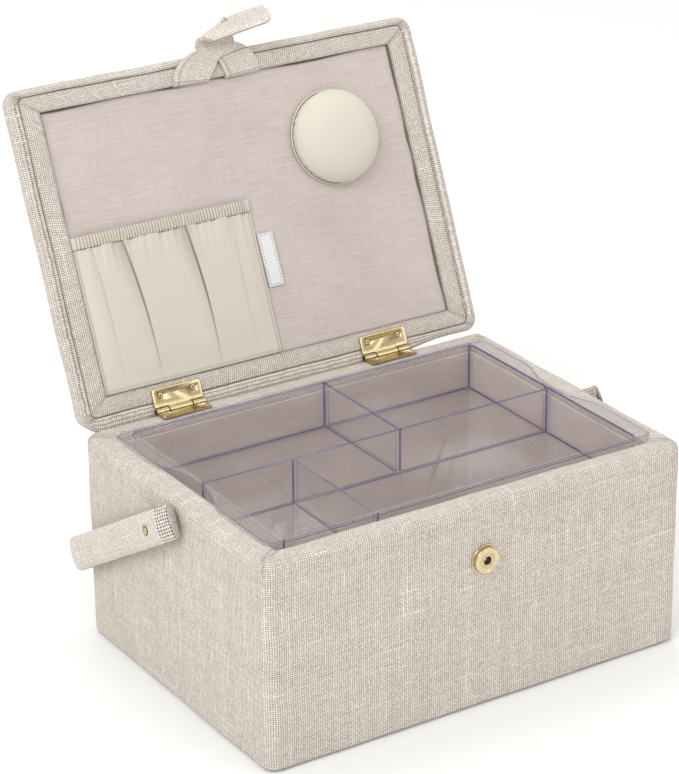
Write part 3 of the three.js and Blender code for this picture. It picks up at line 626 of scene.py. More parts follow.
def lid_normal() -> Array:
    """The way the lid's inner face looks, in the world."""
    ends = lid_place(np.array([[0.0, 0.0, 0.0], [0.0, 0.0, 1.0]]))
    return ends[1] - ends[0]


def matrix_place(matrix: Matrix) -> Callable[[Array], Array]:
    """A placement that carries points through a matrix.

    Args:
        matrix: the placement, with its shift in millimetres.

    Returns:
        A function from points to points.
    """
    whole = np.array(matrix)
    return lambda points: points @ whole[:3, :3].T + whole[:3, 3]


# Finishes


class Value:
    """A value in a material's nodes, on which sums are written as on plain numbers."""

    def __init__(self, nodes: "Nodes", socket: Socket) -> None:
        """Holds a socket and the nodes that it belongs to."""
        self.nodes = nodes
        self.socket = socket

    def __add__(self, other: "Number") -> "Value":
        """The sum of both."""
        return self.nodes.math("ADD", self, other)

    def __sub__(self, other: "Number") -> "Value":
        """This less the other."""
        return self.nodes.math("SUBTRACT", self, other)

    def __rsub__(self, other: float) -> "Value":
        """The other less this."""
        return self.nodes.math("SUBTRACT", other, self)

    def __mul__(self, other: "Number") -> "Value":
        """The product of both."""
        return self.nodes.math("MULTIPLY", self, other)

    def __truediv__(self, other: "Number") -> "Value":
        """This divided by the other."""
        return self.nodes.math("DIVIDE", self, other)

    def __pow__(self, other: "Number") -> "Value":
        """This to the power of the other."""
        return self.nodes.math("POWER", self, other)

    __radd__ = __add__
    __rmul__ = __mul__


Number = Union[float, Value]
Colour = Union[Value, Numbers]
Entry = Union[Socket, Number, Numbers]


class Nodes:
    """A short hand for laying out a material's nodes."""

    def __init__(self, name: str) -> None:
        """Starts a material with a Principled shader.

        Args:
            name: name of the material.
        """
        self.material = bpy.data.materials.new(name)
        self.material.use_nodes = True
        self.tree = self.material.node_tree
        self.shader = self.tree.nodes["Principled BSDF"]
        self.output = self.tree.nodes["Material Output"]

    def add(self, kind: str, **settings: object) -> bpy.types.Node:
        """A new node with some of its properties set.

        Args:
            kind: Blender's name for the node.
            settings: its properties.

        Returns:
            The node.
        """
        node = self.tree.nodes.new(kind)
        for key, value in settings.items():
            setattr(node, key, value)
        return node

    def feed(self, entry: Socket, value: Entry) -> None:
        """Links a value to an entry, or sets the entry to a constant.

        Args:
            entry: the socket that takes the value.
            value: a value of other nodes, a socket, or a constant.
        """
        if isinstance(value, Value):
            value = value.socket
        if isinstance(value, Socket):
            self.tree.links.new(value, entry)
        else:
            entry.default_value = value

    def made(self, node: bpy.types.Node, output: Union[int, str] = 0, **entries: Entry) -> Value:
        """A node's output, once its entries are fed.

        Args:
            node: the node.
            output: number or name of the output.
            entries: what goes into each entry, with _ for a space in its name.

        Returns:
            The output as a value.
        """
        for name, value in entries.items():
            self.feed(node.inputs[name.replace("_", " ")], value)
        return Value(self, node.outputs[output])

    def math(self, operation: str, *values: Number, clamp: bool = False) -> Value:
        """One sum on numbers.

        Args:
            operation: Blender's name for the sum.
            values: the numbers.
            clamp: whether the answer is held between 0 and 1.

        Returns:
            The answer.
        """
        node = self.add("ShaderNodeMath", operation=operation, use_clamp=clamp)
        for entry, value in zip(node.inputs, values):
            self.feed(entry, value)
        return self.made(node)

    def step(self, value: Number, low: float, high: float) -> Value:
        """0 under low, 1 over high, and smooth between."""
        node = self.add("ShaderNodeMapRange", interpolation_type="SMOOTHSTEP")
        return self.made(node, "Result", Value=value, From_Min=low, From_Max=high)

    def blend(self, share: Number, first: Colour, second: Colour, way: str = "MIX") -> Value:
        """Two colours mixed by a share.

        Args:
            share: 0 for the first, 1 for the second.
            first: first colour.
            second: second colour.
            way: Blender's name for the way of mixing.

        Returns:
            The mixed colour.
        """
        node = self.add("ShaderNodeMix", data_type="RGBA", blend_type=way)
        for entry, value in ((0, share), (6, first), (7, second)):
            self.feed(node.inputs[entry], value)
        return self.made(node, 2)

    def shaded(self, colour: Colour, *shares: Number) -> Value:
        """A colour times one share, or times a share each of red, green and blue."""
        return self.blend(1.0, colour, self.vector(*(shares * 3)[:3]), "MULTIPLY")

    def split(self, vector: Value) -> tuple[Value, Value, Value]:
        """The three numbers of a vector."""
        node = self.add("ShaderNodeSeparateXYZ")
        return self.made(node, 0, Vector=vector), self.made(node, 1), self.made(node, 2)

    def vector(self, x: Number, y: Number, z: Number = 0.0) -> Value:
        """A vector of three numbers."""
        return self.made(self.add("ShaderNodeCombineXYZ"), X=x, Y=y, Z=z)

    def stretched(self, place: Value, x: float, y: float, z: float) -> Value:
        """A place with each of its numbers times its own scale."""
        across, deep, high = self.split(place)
        return self.vector(across * x, deep * y, high * z)

    def cloth(self) -> tuple[Value, Value]:
        """The two lengths along the cloth, in metres."""
        return self.split(self.made(self.add("ShaderNodeUVMap", uv_map="cloth")))[:2]

    def place(self) -> Value:
        """Place in the object, in metres."""
        return self.made(self.add("ShaderNodeTexCoord"), "Object")

    def crease(self) -> Value:
        """How deep in a crease the point lies, which the finishes paint as shade."""
        return self.made(self.add("ShaderNodeAttribute", attribute_name="crease"), "Fac")

    def noise(self, place: Value, scale: float, detail: float = 2.0, rough: float = 0.5) -> Value:
        """Soft noise about one half."""
        node = self.add("ShaderNodeTexNoise")
        return self.made(node, "Fac", Vector=place, Scale=scale, Detail=detail, Roughness=rough)

    def hash(self, number: Value) -> Value:
        """A number between 0 and 1 that jumps with each whole number."""
        return self.made(self.add("ShaderNodeTexWhiteNoise", noise_dimensions="1D"), "Value", W=number)

    def bump(self, height: Value, depth: float, strength: float, under: Optional[Value] = None) -> Value:
        """A surface normal raised by a height.

        Args:
            height: the height, from 0 to 1.
            depth: what 1 is, in millimetres.
            strength: how much of it shows.
            under: a normal that this one lies on.

        Returns:
            The normal.
        """
        node = self.add("ShaderNodeBump")
        if under is not None:
            self.feed(node.inputs["Normal"], under)
        return self.made(node, "Normal", Height=height, Distance=depth * MM, Strength=strength)

    def finish(self, **sockets: Entry) -> Material:
        """Sets the shader's sockets, with _ for a space, and returns the material."""
        self.made(self.shader, **sockets)
        return self.material

    def woven(self, colour: Value, normal: Value, roughness: float, gloss: float, sheen: float) -> Material:
        """Sets the shader's sockets for cloth and returns the material."""
        looks = {"Roughness": roughness, "Specular_IOR_Level": gloss, "Sheen_Weight": sheen}
        return self.finish(Base_Color=colour, Normal=normal, **looks)


def paint(hex_code: str) -> tuple[float, float, float, float]:
    """Scene-linear colour of a six-figure sRGB code."""
    share = [int(hex_code[i : i + 2], 16) / 255 for i in (0, 2, 4)]
    linear = [c / 12.92 if c <= 0.04045 else ((c + 0.055) / 1.055) ** 2.4 for c in share]
    return (*linear, 1.0)


@dataclass(frozen=True)
class Linen:
    """Plain-woven natural linen: uneven threads over and under each other, paler slubs, painted shade in the
    holes between.

    Attributes:
        name: name of the finish.
        across: thread pitch across, in millimetres.
        along: thread pitch along, in millimetres.
        dark: colour of the darkest threads.
        pale: colour of the palest threads.
        slub: colour of the slubs.
        relief: height of the weave, in millimetres.
        hole: how dark the gaps between threads are, 0 for black.
        gap: thread height under which a gap is fully dark.
        full: thread height over which no gap shows.
        wander: how far threads stray from straight, in pitches.
        crossing: how much paleness jumps from crossing to crossing.
        cloud: how much it drifts over the piece.
        hollow: how much darker the deepest creases are.
        roughness: roughness of the shader.
        gloss: strength of its reflections.
        sheen: soft gloss of the cloth.
    """

    name: str = "linen"
    across: float = 1.28
    along: float = 1.15
    dark: str = "c9bdb0"
    pale: str = "f7eee5"
    slub: str = "fbf6ef"
    relief: float = 0.3
    # hole: how dark the painted shade in the gaps between threads is, 0 for black.
    hole: float = 0.08
    # gap: thread height under which a gap is fully in painted shade.
    gap: float = 0.16
    # full: thread height over which no painted shade shows in a gap.
    full: float = 0.68
    wander: float = 0.55
    crossing: float = 0.4
    cloud: float = 0.22
    # hollow: how much the painted shade darkens the deepest creases.
    hollow: float = 0.72
    roughness: float = 0.92
    gloss: float = 0.2
    sheen: float = 0.08

    def build(self) -> Material:
        """Lays out the weave.

        With a = place across / pitch and b = place along / pitch, the threads are |sin pi a| and |sin pi b|,
        and sign(sin pi a) * sin pi b says how far the thread along is on top.

        Returns:
            The material.
        """
        n = Nodes(self.name)
        across, along = n.cloth()
        flat = n.vector(across, along)
        a = across / (self.across * MM) + n.noise(flat, 220.0, 1.0) * self.wander
        b = along / (self.along * MM) + n.noise(n.vector(along, across, 0.3), 190.0, 1.0) * self.wander
        sin_a = n.math("SINE", a * math.pi)
        sin_b = n.math("SINE", b * math.pi)
        warp_id, weft_id = n.math("FLOOR", a), n.math("FLOOR", b)
        warp_slub = self._slub(n, warp_id, along, 0.0)
        weft_slub = self._slub(n, weft_id, across, 5.0)
        warp = self._thread(n, sin_a, n.math("SIGN", sin_a) * sin_b, warp_slub)
        weft = self._thread(n, sin_b, n.math("SIGN", sin_b) * (sin_a * -1.0), weft_slub)
        height = n.math("MAXIMUM", warp, weft)
        weft_shows = n.step(weft - warp, -0.08, 0.08)
        warp_tint = self._tint(n, warp_id, along, 1.0)
        tint = warp_tint + weft_shows * (self._tint(n, weft_id, across, 9.0) - warp_tint)
        tint = tint + (n.hash(warp_id * 61.7 + weft_id * 7.3) - 0.5) * self.crossing
        tint = n.math("ADD", tint, (n.noise(n.place(), 38.0, 3.0) - 0.5) * self.cloud, clamp=True)
        slub = warp_slub + weft_shows * (weft_slub - warp_slub)
        colour = n.blend(tint, paint(self.dark), paint(self.pale))
        colour = n.blend(slub * 0.6, colour, paint(self.slub))
        fibre = n.noise(flat, 3200.0, 2.0)
        # Painted shade: dark in the gaps between threads and in creases; the fibre noise only varies the
        # tone.
        shade = n.step(height, self.gap, self.full) * (1.0 - self.hole) + self.hole
        shade = shade * (0.93 + fibre * 0.14) * (1.0 - n.crease() * self.hollow)
        normal = n.bump(height, self.relief, 0.85, n.bump(fibre, 0.04, 0.5))
        return n.woven(n.shaded(colour, shade), normal, self.roughness, self.gloss, self.sheen)

    def _thread(self, n: Nodes, side: Value, on_top: Value, slub: Value) -> Value:
        """Height of a thread: round across, higher where it is on top, fatter in a slub."""
        return n.math("ABSOLUTE", side) ** 0.7 * (0.56 + on_top * 0.4) * (1.0 + slub * 0.3)

    def _slub(self, n: Nodes, thread: Value, length: Value, seed: float) -> Value:
        """Where a thread is thick: noise that jumps from thread to thread and is long along them."""
        return n.step(n.noise(n.vector(thread * 3.37, length * 26.0, seed), 1.0, 1.0), 0.64, 0.76)

    def _tint(self, n: Nodes, thread: Value, length: Value, seed: float) -> Value:
        """Paleness of a thread, which changes from thread to thread and slowly along each."""
        slow = n.noise(n.vector(thread * 1.71, length * 160.0, seed), 1.0, 2.0)
        return n.hash(thread + seed) * 0.3 + slow * 0.65


@dataclass(frozen=True)
class FineCloth:
    """Thin, close-woven cloth: fine threads both ways, streaks along the threads, soft clouds of tone, and
    warm painted shade in its creases.

    Attributes:
        name: name of the finish.
        colour: main colour.
        shade: colour of the darker streaks.
        pitch: thread pitch in millimetres.
        streak: how strongly the streaks show.
        relief: height of the weave in millimetres.
        sheen: soft gloss of the cloth.
        roughness: roughness of the shader.
        gloss: strength of its reflections.
        hollow: how much the painted shade darkens the deepest creases.
        warmth: power that green falls by in the painted shade of a crease; blue falls by its square.
        long: how fast a streak changes along itself, per metre.
        thin: how fast it changes across.
    """

    name: str
    colour: str
    shade: str
    pitch: float = 0.36
    streak: float = 0.8
    relief: float = 0.05
    sheen: float = 0.1
    roughness: float = 0.8
    gloss: float = 0.25
    hollow: float = 0.55
    warmth: float = 1.18
    long: float = 55.0
    thin: float = 1500.0

    def build(self) -> Material:
        """Lays out the cloth: sines at the thread pitch for relief, stretched noise for the streaks.

        Returns:
            The material.
        """
        n = Nodes(self.name)
        across, along = n.cloth()
        flat = n.vector(across, along)
        level = n.noise(n.vector(across * self.long, along * self.thin), 1.0, 3.0, 0.6)
        upright = n.noise(n.vector(across * self.thin, along * self.long, 4.0), 1.0, 3.0, 0.6)
        tone = level * 0.5 + upright * 0.25 + n.noise(n.place(), 30.0, 3.0) * 0.2
        tone = tone + n.noise(flat, 900.0, 2.0) * 0.15
        half = 0.24 / self.streak
        colour = n.blend(n.step(tone, 0.55 - half, 0.55 + half), paint(self.shade), paint(self.colour))
        # Painted shade in the creases, warmer the deeper it is.
        dark = 1.0 - n.crease() * self.hollow
        colour = n.shaded(colour, dark, dark**self.warmth, dark ** (self.warmth**2))
        turn = 2 * math.pi / (self.pitch * MM)
        weave = n.math("SINE", across * turn) * n.math("SINE", along * turn) * 0.5 + 0.5
        height = weave * 0.6 + level * 0.4
        normal = n.bump(height, self.relief, 0.8, n.bump(n.noise(flat, 60.0, 3.0), 0.9, 0.35))
        return n.woven(colour, normal, self.roughness, self.gloss, self.sheen)


@dataclass(frozen=True)
class PlatedMetal:
    """Bright plated brass: fine scratches both ways, faint stains, a little duller in patches, and painted
    shade where the crease attribute marks hollows and edges.

    Attributes:
        name: name of the finish.
        colour: colour of the plate.
        stain: colour of the duller patches.
        polish: lowest roughness.
        wear: how much rougher the worn patches are.
        hollow: how much the painted shade darkens the places that the crease attribute marks.
    """

    name: str
    colour: str
    stain: str
    polish: float = 0.2
    # wear: how much rougher the patches of wear are.
    wear: float = 0.2
    hollow: float = 0.85

    def build(self) -> Material:
        """Lays out the plate: noise stretched along x for the scratches, noise for stains.

        Returns:
            The material.
        """
        n = Nodes(self.name)
        place = n.place()
        scratch = n.noise(n.stretched(place, 250.0, 6000.0, 6000.0), 1.0, 2.0)
        stain = n.step(n.noise(place, 420.0, 3.0), 0.45, 0.75)
        colour = n.blend(stain * 0.35, paint(self.colour), paint(self.stain))
        # Painted shade where the crease attribute marks hollows, rims and the hinges' barrels.
        colour = n.shaded(colour, 1.0 - n.crease() * self.hollow)
        rough = self.polish + scratch * self.wear + stain * 0.08
        normal = n.bump(n.noise(place, 2600.0, 2.0), 0.01, 0.4, n.bump(scratch, 0.006, 0.4))
        return n.finish(Base_Color=colour, Metallic=1.0, Roughness=rough, Normal=normal)


@dataclass(frozen=True)
class ClearPlastic:
    """Clear moulded plastic: thin, faintly violet, seen through, with mirror gloss at a slant.

    Attributes:
        name: name of the finish.
        tint: colour that each surface takes from what is behind.
        milk: colour of the plastic itself.
        gloss: how strong the reflections are, 1 for a plain surface.
        body: share of the surface that is seen as plastic rather than seen through.
        refraction: the plastic's index of refraction, which sets the gloss at a slant.
    """

    name: str
    tint: str
    milk: str
    gloss: float
    body: float
    refraction: float = 1.55

    def build(self) -> Material:
        """Mixes a tinted see-through shader, a little body and Fresnel gloss, all on faint moulding waves.

        Returns:
            The material.
        """
        n = Nodes(self.name)
        n.tree.nodes.remove(n.shader)
        place = n.place()
        wave = n.bump(n.noise(place, 40.0, 1.0), 0.05, 0.2)
        pale = tuple(1.0 - (1.0 - c) * 0.75 for c in paint(self.tint)[:3]) + (1.0,)
        seen = n.blend(n.noise(place, 26.0, 3.0), paint(self.tint), pale)
        through = n.made(n.add("ShaderNodeBsdfTransparent"), Color=seen)
        body = n.made(n.add("ShaderNodeBsdfDiffuse"), Color=paint(self.milk))
        mirror = n.made(n.add("ShaderNodeBsdfGlossy"), Roughness=0.05, Normal=wave)
        fresnel = n.made(n.add("ShaderNodeFresnel"), IOR=self.refraction, Normal=wave)
        leaving = n.made(n.add("ShaderNodeNewGeometry"), "Backfacing")
        streak = n.step(n.noise(place, 14.0, 2.0), 0.35, 0.7)
        shine = fresnel * (1.0 - leaving) * (0.6 + streak * 1.9)
        shine = n.math("MULTIPLY", shine, self.gloss, clamp=True)
        self._mix(n, shine, self._mix(n, self.body, through, body), mirror)
        return n.material

    def _mix(self, n: Nodes, share: Number, first: Value, second: Value) -> Value:
        """Two shaders mixed by a share. The last mixture made is the one that the surface has.

        Args:
            n: the material's nodes.
            share: 0 for the first, 1 for the second.
            first: first shader.
            second: second shader.

        Returns:
            The mixture.
        """
        mixer = n.add("ShaderNodeMixShader")
        for entry, value in zip(mixer.inputs, (share, first, second)):
            n.feed(entry, value)
        n.feed(n.output.inputs["Surface"], mixer.outputs[0])
        return n.made(mixer)


@dataclass(frozen=True)
class Fibreboard:
    """Unfinished board: short fibres, darker specks, a soft tone of wear.

    Attributes:
        name: name of the finish.
        colour: main colour.
        shade: colour of the fibres.
    """

    name: str
    colour: str
    shade: str

    def build(self) -> Material:
        """Lays out the board: stretched noise for fibres, fine noise for specks.

        Returns:
            The material.
        """
        n = Nodes(self.name)
        place = n.place()
        fibres = n.noise(n.stretched(place, 300.0, 900.0, 1800.0), 1.0, 4.0)
        specks = n.step(n.noise(place, 1400.0, 2.0), 0.6, 0.7)
        tone = n.math("ADD", fibres * 0.8, specks * 0.4, clamp=True)
        colour = n.blend(tone, paint(self.colour), paint(self.shade))
        return n.finish(Base_Color=colour, Normal=n.bump(fibres, 0.2, 0.6), Roughness=0.85)


@dataclass(frozen=True)
class Wadding:
    """Soft polyester wadding: tangled fibres and hollows.

    Attributes:
        name: name of the finish.
        colour: main colour.
        shade: colour in the hollows.
    """

    name: str
    colour: str
    shade: str

    def build(self) -> Material:
        """Lays out the wadding: two scales of noise for hollows and fibres.

        Returns:
            The material.
        """
        n = Nodes(self.name)
        place = n.place()
        tone = n.noise(place, 900.0, 5.0, 0.7) * 0.7 + n.noise(place, 120.0, 2.0) * 0.3
        colour = n.blend(n.step(tone, 0.35, 0.65), paint(self.shade), paint(self.colour))
        return n.finish(Base_Color=colour, Normal=n.bump(tone, 0.6, 0.7), Roughness=0.95, Sheen_Weight=0.3)


class Finishes:
    """Every finish of the box, built once."""

    def __init__(self) -> None:
        """Builds the finishes."""
        close = {"dark": "cabeb3", "hole": 0.36, "relief": 0.2}
        thin = {"dark": "cbbfb2", "hole": 0.04, "gap": 0.3, "full": 0.66}
        self.linen = Linen().build()
        self.fine_linen = Linen("fine linen", across=1.1, along=1.1, **close).build()
        self.open_linen = Linen("open linen", across=1.7, along=2.2, **thin).build()
        edge = {"pitch": 0.6, "streak": 1.4, "relief": 0.1}
        self.linen_edge = FineCloth("linen edge", "d6cabd", "a99c8e", **edge).build()
        satin = {"pitch": 0.5, "streak": 1.1, "sheen": 0.05, "hollow": 0.8}
        self.lining = FineCloth("lining", "d7cbc6", "bdafaa", **satin).build()
        soft = {"streak": 0.5, "relief": 0.03, "hollow": 0.75}
        self.cotton = FineCloth("pocket cotton", "ddd6cb", "cdc5b9", **soft).build()
        self.cream = FineCloth("cushion cotton", "ded8ca", "d4cdbe", streak=0.5, relief=0.02).build()
        ribbon = {"pitch": 0.45, "streak": 0.7, "relief": 0.06, "hollow": 0.7}
        self.tape = FineCloth("woven tape", "efeff0", "d6d8da", **ribbon).build()
        self.brass = PlatedMetal("bright brass", "dccb9f", "ad9059", polish=0.19, wear=0.16).build()
        # A darker copy of the brass for the hinge leaves' rounded edges: painted shade along them.
        self.brass_edge = PlatedMetal("brass edge", "8d7344", "5e4a28").build()
        self.snap = PlatedMetal("pale gold plate", "e8d6ad", "c0a873", polish=0.16).build()
        # A dark, rougher brass for the hinge pins, which paints shade into the gaps between the knuckles.
        self.dull = PlatedMetal("dull brass", "5e4c2e", "3f321f", polish=0.4).build()
        self.clear = ClearPlastic("clear plastic", "fefdfd", "dcd9da", gloss=1.3, body=0.055).build()
        self.clear_edge = ClearPlastic("clear plastic edge", "8788b8", "7c7fb4", gloss=1.5, body=0.3).build()
        self.board = Fibreboard("fibreboard", "b79f7c", "8f7757").build()
        self.strip = Fibreboard("handle strip", "d8d2c2", "c3bba8").build()
        self.wadding = Wadding("wadding", "f2f0e8", "d9d5c8").build()


@dataclass
class Assembly:
    """A sub-assembly of the box. Its sizes are in millimetres.

    Attributes:
        finishes: the finishes.
        nodes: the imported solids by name.
    """

    finishes: Finishes
    nodes: dict[str, Thing]

    def keep(self, name: str, finish: Material) -> None:
        """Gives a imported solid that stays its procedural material.

        Args:
            name: the solid.
            finish: the material.
        """
        materials = self.nodes[name].data.materials
        materials.clear()
        materials.append(finish)
        LOG.info("%s: keeps its solid", name)


def leaning_on(x: Array) -> Array:
    """1 where the open lid's edge rests on the back of the rim, falling to 0 past the right-hand hinge."""
    from_left = x + PLAN.half_width - PLAN.rest_start
    return smooth((PLAN.rest_end - x) / PLAN.rest_fade) * smooth(from_left / PLAN.rest_ease)


# Box body


@dataclass
class BoxBody(Assembly):
    """The padded case: cloth, wadding, boards and linings.

    Attributes:
        corner: radius of the case's corners.
        end_inner: how far the end walls' inner face is from the outer one.
        long_inner: the same for the long walls.
        turn_in: how far the cloth reaches down inside.
        hem_reach: how far it reaches in under the foot.
        sheet: thickness of the base's cloth.
        board_drop: how far the boards stop under the rim.
        lining_drop: how far the lining does.
        floor_lining: thickness of the lined card on the floor.
        floor_room: room round it.
        softness: height of the cloth's slow waves.
        softness_span: length over which they turn.
        row_step: longest stretch of a section between two rows.
        crease_reach: how far under the rim the folds die out.
        shoulder: how far the back's cloth bulges under the resting lid.
        shoulder_drop: how far under the rim the bulge starts.
        shoulder_ease: stretch over which it rises.
        stations: shares of the way out at which a panel has loops.
        fold: line of the fold across a corner of the rim, in distances from the two walls.
    """

    corner: float = 7.0
    cloth: float = 1.0
    rim_round: float = 5.0
    end_inner: float = 14.7
    long_inner: float = 13.0
    inner_round: float = 3.0
    board: float = 5.5
    turn_in: float = 11.0
    sheet: float = 0.7
    sheet_inset: float = 4.0
    hem_reach: float = 14.0
    foot_round: float = 2.0
    board_drop: float = 4.5
    lining: float = 1.4
    lining_drop: float = 4.6
    lining_corner: float = 3.0
    floor_lining: float = 2.0
    floor_room: float = 0.4
    base_board: float = 6.0
    sharp_corner: float = 0.8
    crease_depth: float = 0.55
    crease_width: float = 0.75
    softness: float = 0.22
    softness_span: float = 17.0
    row_step: float = 5.0
    crease_reach: float = 9.0
    shoulder: float = 1.3
    shoulder_drop: float = 12.0
    shoulder_ease: float = 8.0
    crease_shade: float = 0.45
    stations: tuple[float, ...] = (0.0, 0.25, 0.5, 0.75, 0.93)
    fold: tuple[tuple[float, float], ...] = ((15.5, 15.5), (10.9, 13.7), (6.6, 10.0), (2.6, 6.1), (0.6, 3.4))
    ring: Ring = Ring()

    def build(self) -> None:
        """Builds every piece of the case in order."""
        self.cover()
        self.wadding()
        self.base_sheet()
        self.wall_lining()
        self.floor_panel()
        self.boards()

    @property
    def hem_bottom(self) -> float:
        """Height of the cloth under the case's edge."""
        return self.sheet + PLAN.seat

    @property
    def board_bottom(self) -> float:
        """Height of the boards' lower edges."""
        return self.hem_bottom + self.cloth + PLAN.seat

    @property
    def board_top(self) -> float:
        """Height of the boards' upper edges."""
        return PLAN.height - self.board_drop

    def rim(self, inner: float, depth: float) -> Array:
        """Section over the top of a wall: an arc up, a flat top, and an arc down inside.

        Args:
            inner: how far the wall's inner face is from the outer one.
            depth: how far the section lies under the cloth's outer face.

        Returns:
            Pairs of inset and height.
        """
        middle = inner - self.inner_round
        over = arc(self.rim_round, PLAN.height - self.rim_round, self.rim_round - depth, 180, 90)
        down = arc(middle, PLAN.height - self.inner_round, self.inner_round - depth, 90, 0)
        return joined(over, down)

    def cover_section(self, inner: float) -> Array:
        """Section of the cloth: hem under the foot, up the wall, over the rim, down inside, and back.

        Args:
            inner: how far the wall's inner face is from the outer one.

        Returns:
            Pairs of inset and height.
        """
        turn_bottom = PLAN.height - self.inner_round - self.turn_in
        foot = self.hem_bottom + self.foot_round
        return joined(
            [[self.hem_reach, self.hem_bottom]],
            arc(self.foot_round, foot, self.foot_round, 270, 180),
            self.rim(inner, 0.0),
            [[inner, turn_bottom], [inner - self.cloth, turn_bottom]],
            self.rim(inner, self.cloth)[::-1],
            arc(self.foot_round, foot, self.foot_round - self.cloth, 180, 270),
            [[self.hem_reach, self.hem_bottom + self.cloth], [self.hem_reach, self.hem_bottom]],
        )

    def wadding_section(self, inner: float) -> Array:
        """Section of the wadding: outside the board, over its top and down to the lining.

        Args:
            inner: how far the wall's inner face is from the outer one.

        Returns:
            Pairs of inset and height.
        """
        depth = self.cloth + PLAN.seat
        outer = inner - depth - self.board - PLAN.seat
        low = self.board_bottom + PLAN.seat
        high = self.board_top + PLAN.seat
        inside = [[inner - depth, high], [outer, high], [outer, low]]
        return joined([[outer, low], [depth, low]], self.rim(inner, depth), inside)

    def sections(self, section: Callable[[float], Array]) -> list[Array]:
        """Paired sections of the end walls and the long walls."""
        return refined([section(self.end_inner), section(self.long_inner)], self.row_step)

    def wall_loops(self, ends: Array, longs: Array, half_x: float, half_y: float, corner: float) -> Array:
        """Loops from paired sections of the end walls and the long walls."""
        radius = np.maximum(corner - longs[:, 0], self.sharp_corner)
        return self.ring.loops(half_x - ends[:, 0], half_y - longs[:, 0], radius, ends[:, 1], longs[:, 1])

    def rim_creases(self, points: Array) -> Array:
        """The folds across the rim at the corners, by the distance to one line measured from each corner.

        Args:
            points: grid of points.

        Returns:
            1 in the bottom of a fold, falling to 0 beside it and below the rim.
        """
        in_x, in_y = PLAN.half_width - np.abs(points[..., 0]), PLAN.half_depth - np.abs(points[..., 1])
        away = distance_to_line(np.stack([in_x, in_y], axis=-1), np.array(self.fold))
        high = smooth((points[..., 2] - PLAN.height + self.crease_reach) / self.crease_reach * 2)
        return ridge(away, self.crease_width) * high

    def cover(self) -> None:
        """Linen over the walls and rim, softly uneven, with a fold across the rim at each corner."""
        ends, longs = self.sections(self.cover_section)
        points = self.wall_loops(ends, longs, PLAN.half_width, PLAN.half_depth, self.corner)
        cloth = round_cloth(points, ends, int(np.argmin(ends[:, 0])))
        crease = self.rim_creases(points)
        at_back = smooth((points[..., 1] - PLAN.half_depth + self.rim_round) / self.rim_round)
        near_top = smooth((points[..., 2] - PLAN.height + self.shoulder_drop) / self.shoulder_ease)
        shoulder = self.shoulder * at_back * near_top * leaning_on(points[..., 0])
        points = rippled(points, self.softness, self.softness_span)
        points[..., 1] += shoulder
        points[..., 2] -= self.crease_depth * crease
        piece = Piece("box_cloth", "box", self.finishes.linen, "linen", ["box_cover"])
        piece.of_patches([Patch(points, cloth, self.crease_shade * crease)])

    def wadding(self) -> None:
        """Wadding between the cloth and the boards."""
        ends, longs = self.sections(self.wadding_section)
        points = self.wall_loops(ends, longs, PLAN.half_width, PLAN.half_depth, self.corner)
        patch = Patch(rippled(points, self.softness / 2, self.softness_span), round_cloth(points, ends, 0))
        piece = Piece("box_wadding", "box", self.finishes.wadding, "padding", ["box_padding"])
        piece.of_patches([patch])

    def panel(
        self, half_x: float, half_y: float, corner: float, low: float, thick: float, crown: float
    ) -> Patch:
        """A flat panel with eased edges: loops from the middle below, out, up and back to the middle above.

        Args:
            half_x: half length.
            half_y: half depth.
            corner: corner radius.
            low: height of the underside.
            thick: thickness.
            crown: how far the middle of the top stands over its edge.

        Returns:
            The panel.
        """
        shares = np.array(self.stations)
        round_edge = thick / 2
        edge = arc(round_edge, low + round_edge, round_edge, 270, 90, 6)
        up = np.concatenate([shares, np.ones(len(edge)), shares[::-1]])
        inset = np.concatenate([shares * 0 + round_edge, edge[:, 0], shares * 0 + round_edge])
        z = np.concatenate([shares * 0 + low, edge[:, 1], low + thick + crown * (1 - shares[::-1] ** 2)])
        points = self.ring.loops((half_x - inset) * up, (half_y - inset) * up, corner * up, z, z)
        return Patch(points)

    def base_sheet(self) -> None:
        """Cloth glued under the base."""
        inset = self.sheet_inset
        half_x, half_y = PLAN.half_width - inset, PLAN.half_depth - inset
        patch = self.panel(half_x, half_y, self.corner - inset, 0.0, self.sheet, 0.0)
        piece = Piece("base_sheet", "box", self.finishes.linen, "base_cloth", ["base_cloth"])
        sheet = piece.of_patches([patch])
        flat = (2 * half_x * MM, 2 * half_y * MM)

    def wall_lining(self) -> None:
        """Lining round the inside of the walls, with a soft top edge."""
        floor = self.board_bottom + self.base_board + PLAN.seat
        top = PLAN.height - self.lining_drop
        fold = self.lining / 2
        section = joined(
            [[0.0, floor], [0.0, top - fold]],
            arc(fold, top - fold, fold, 180, 0, 6),
            [[self.lining, floor], [0.0, floor]],
        )
        ends, longs = refined([section, section], self.row_step)
        half_x = PLAN.half_width - self.end_inner - PLAN.seat
        half_y = PLAN.half_depth - self.long_inner - PLAN.seat
        points = self.wall_loops(ends, longs, half_x, half_y, self.lining_corner)
        cloth = round_cloth(points, ends, 0)
        piece = Piece("wall_lining", "box", self.finishes.lining, "lining", ["side_lining"])
        piece.of_patches([Patch(rippled(points, self.softness / 2, self.softness_span), cloth)])

    def floor_panel(self) -> None:
        """Lined card on the floor of the box, a little full in the middle."""
        floor = self.board_bottom + self.base_board + PLAN.seat
        room = self.lining + self.floor_room
        half_x = PLAN.half_width - self.end_inner - PLAN.seat - room
        half_y = PLAN.half_depth - self.long_inner - PLAN.seat - room
        patch = self.panel(half_x, half_y, self.sharp_corner, floor, self.floor_lining, PLAN.seat)
        Piece("floor_panel", "box", self.finishes.lining, "lining", ["floor_lining"]).of_patches([patch])

    def boards(self) -> None:
        """Gives the hidden boards and the handle's washers their materials."""
        for name in ("board_front", "board_back", "board_left", "board_right", "board_base"):
            self.keep(name, self.finishes.board)
        for side in Side:
            self.keep(f"rivet_washer_{side.word}", self.finishes.brass)


# Tray


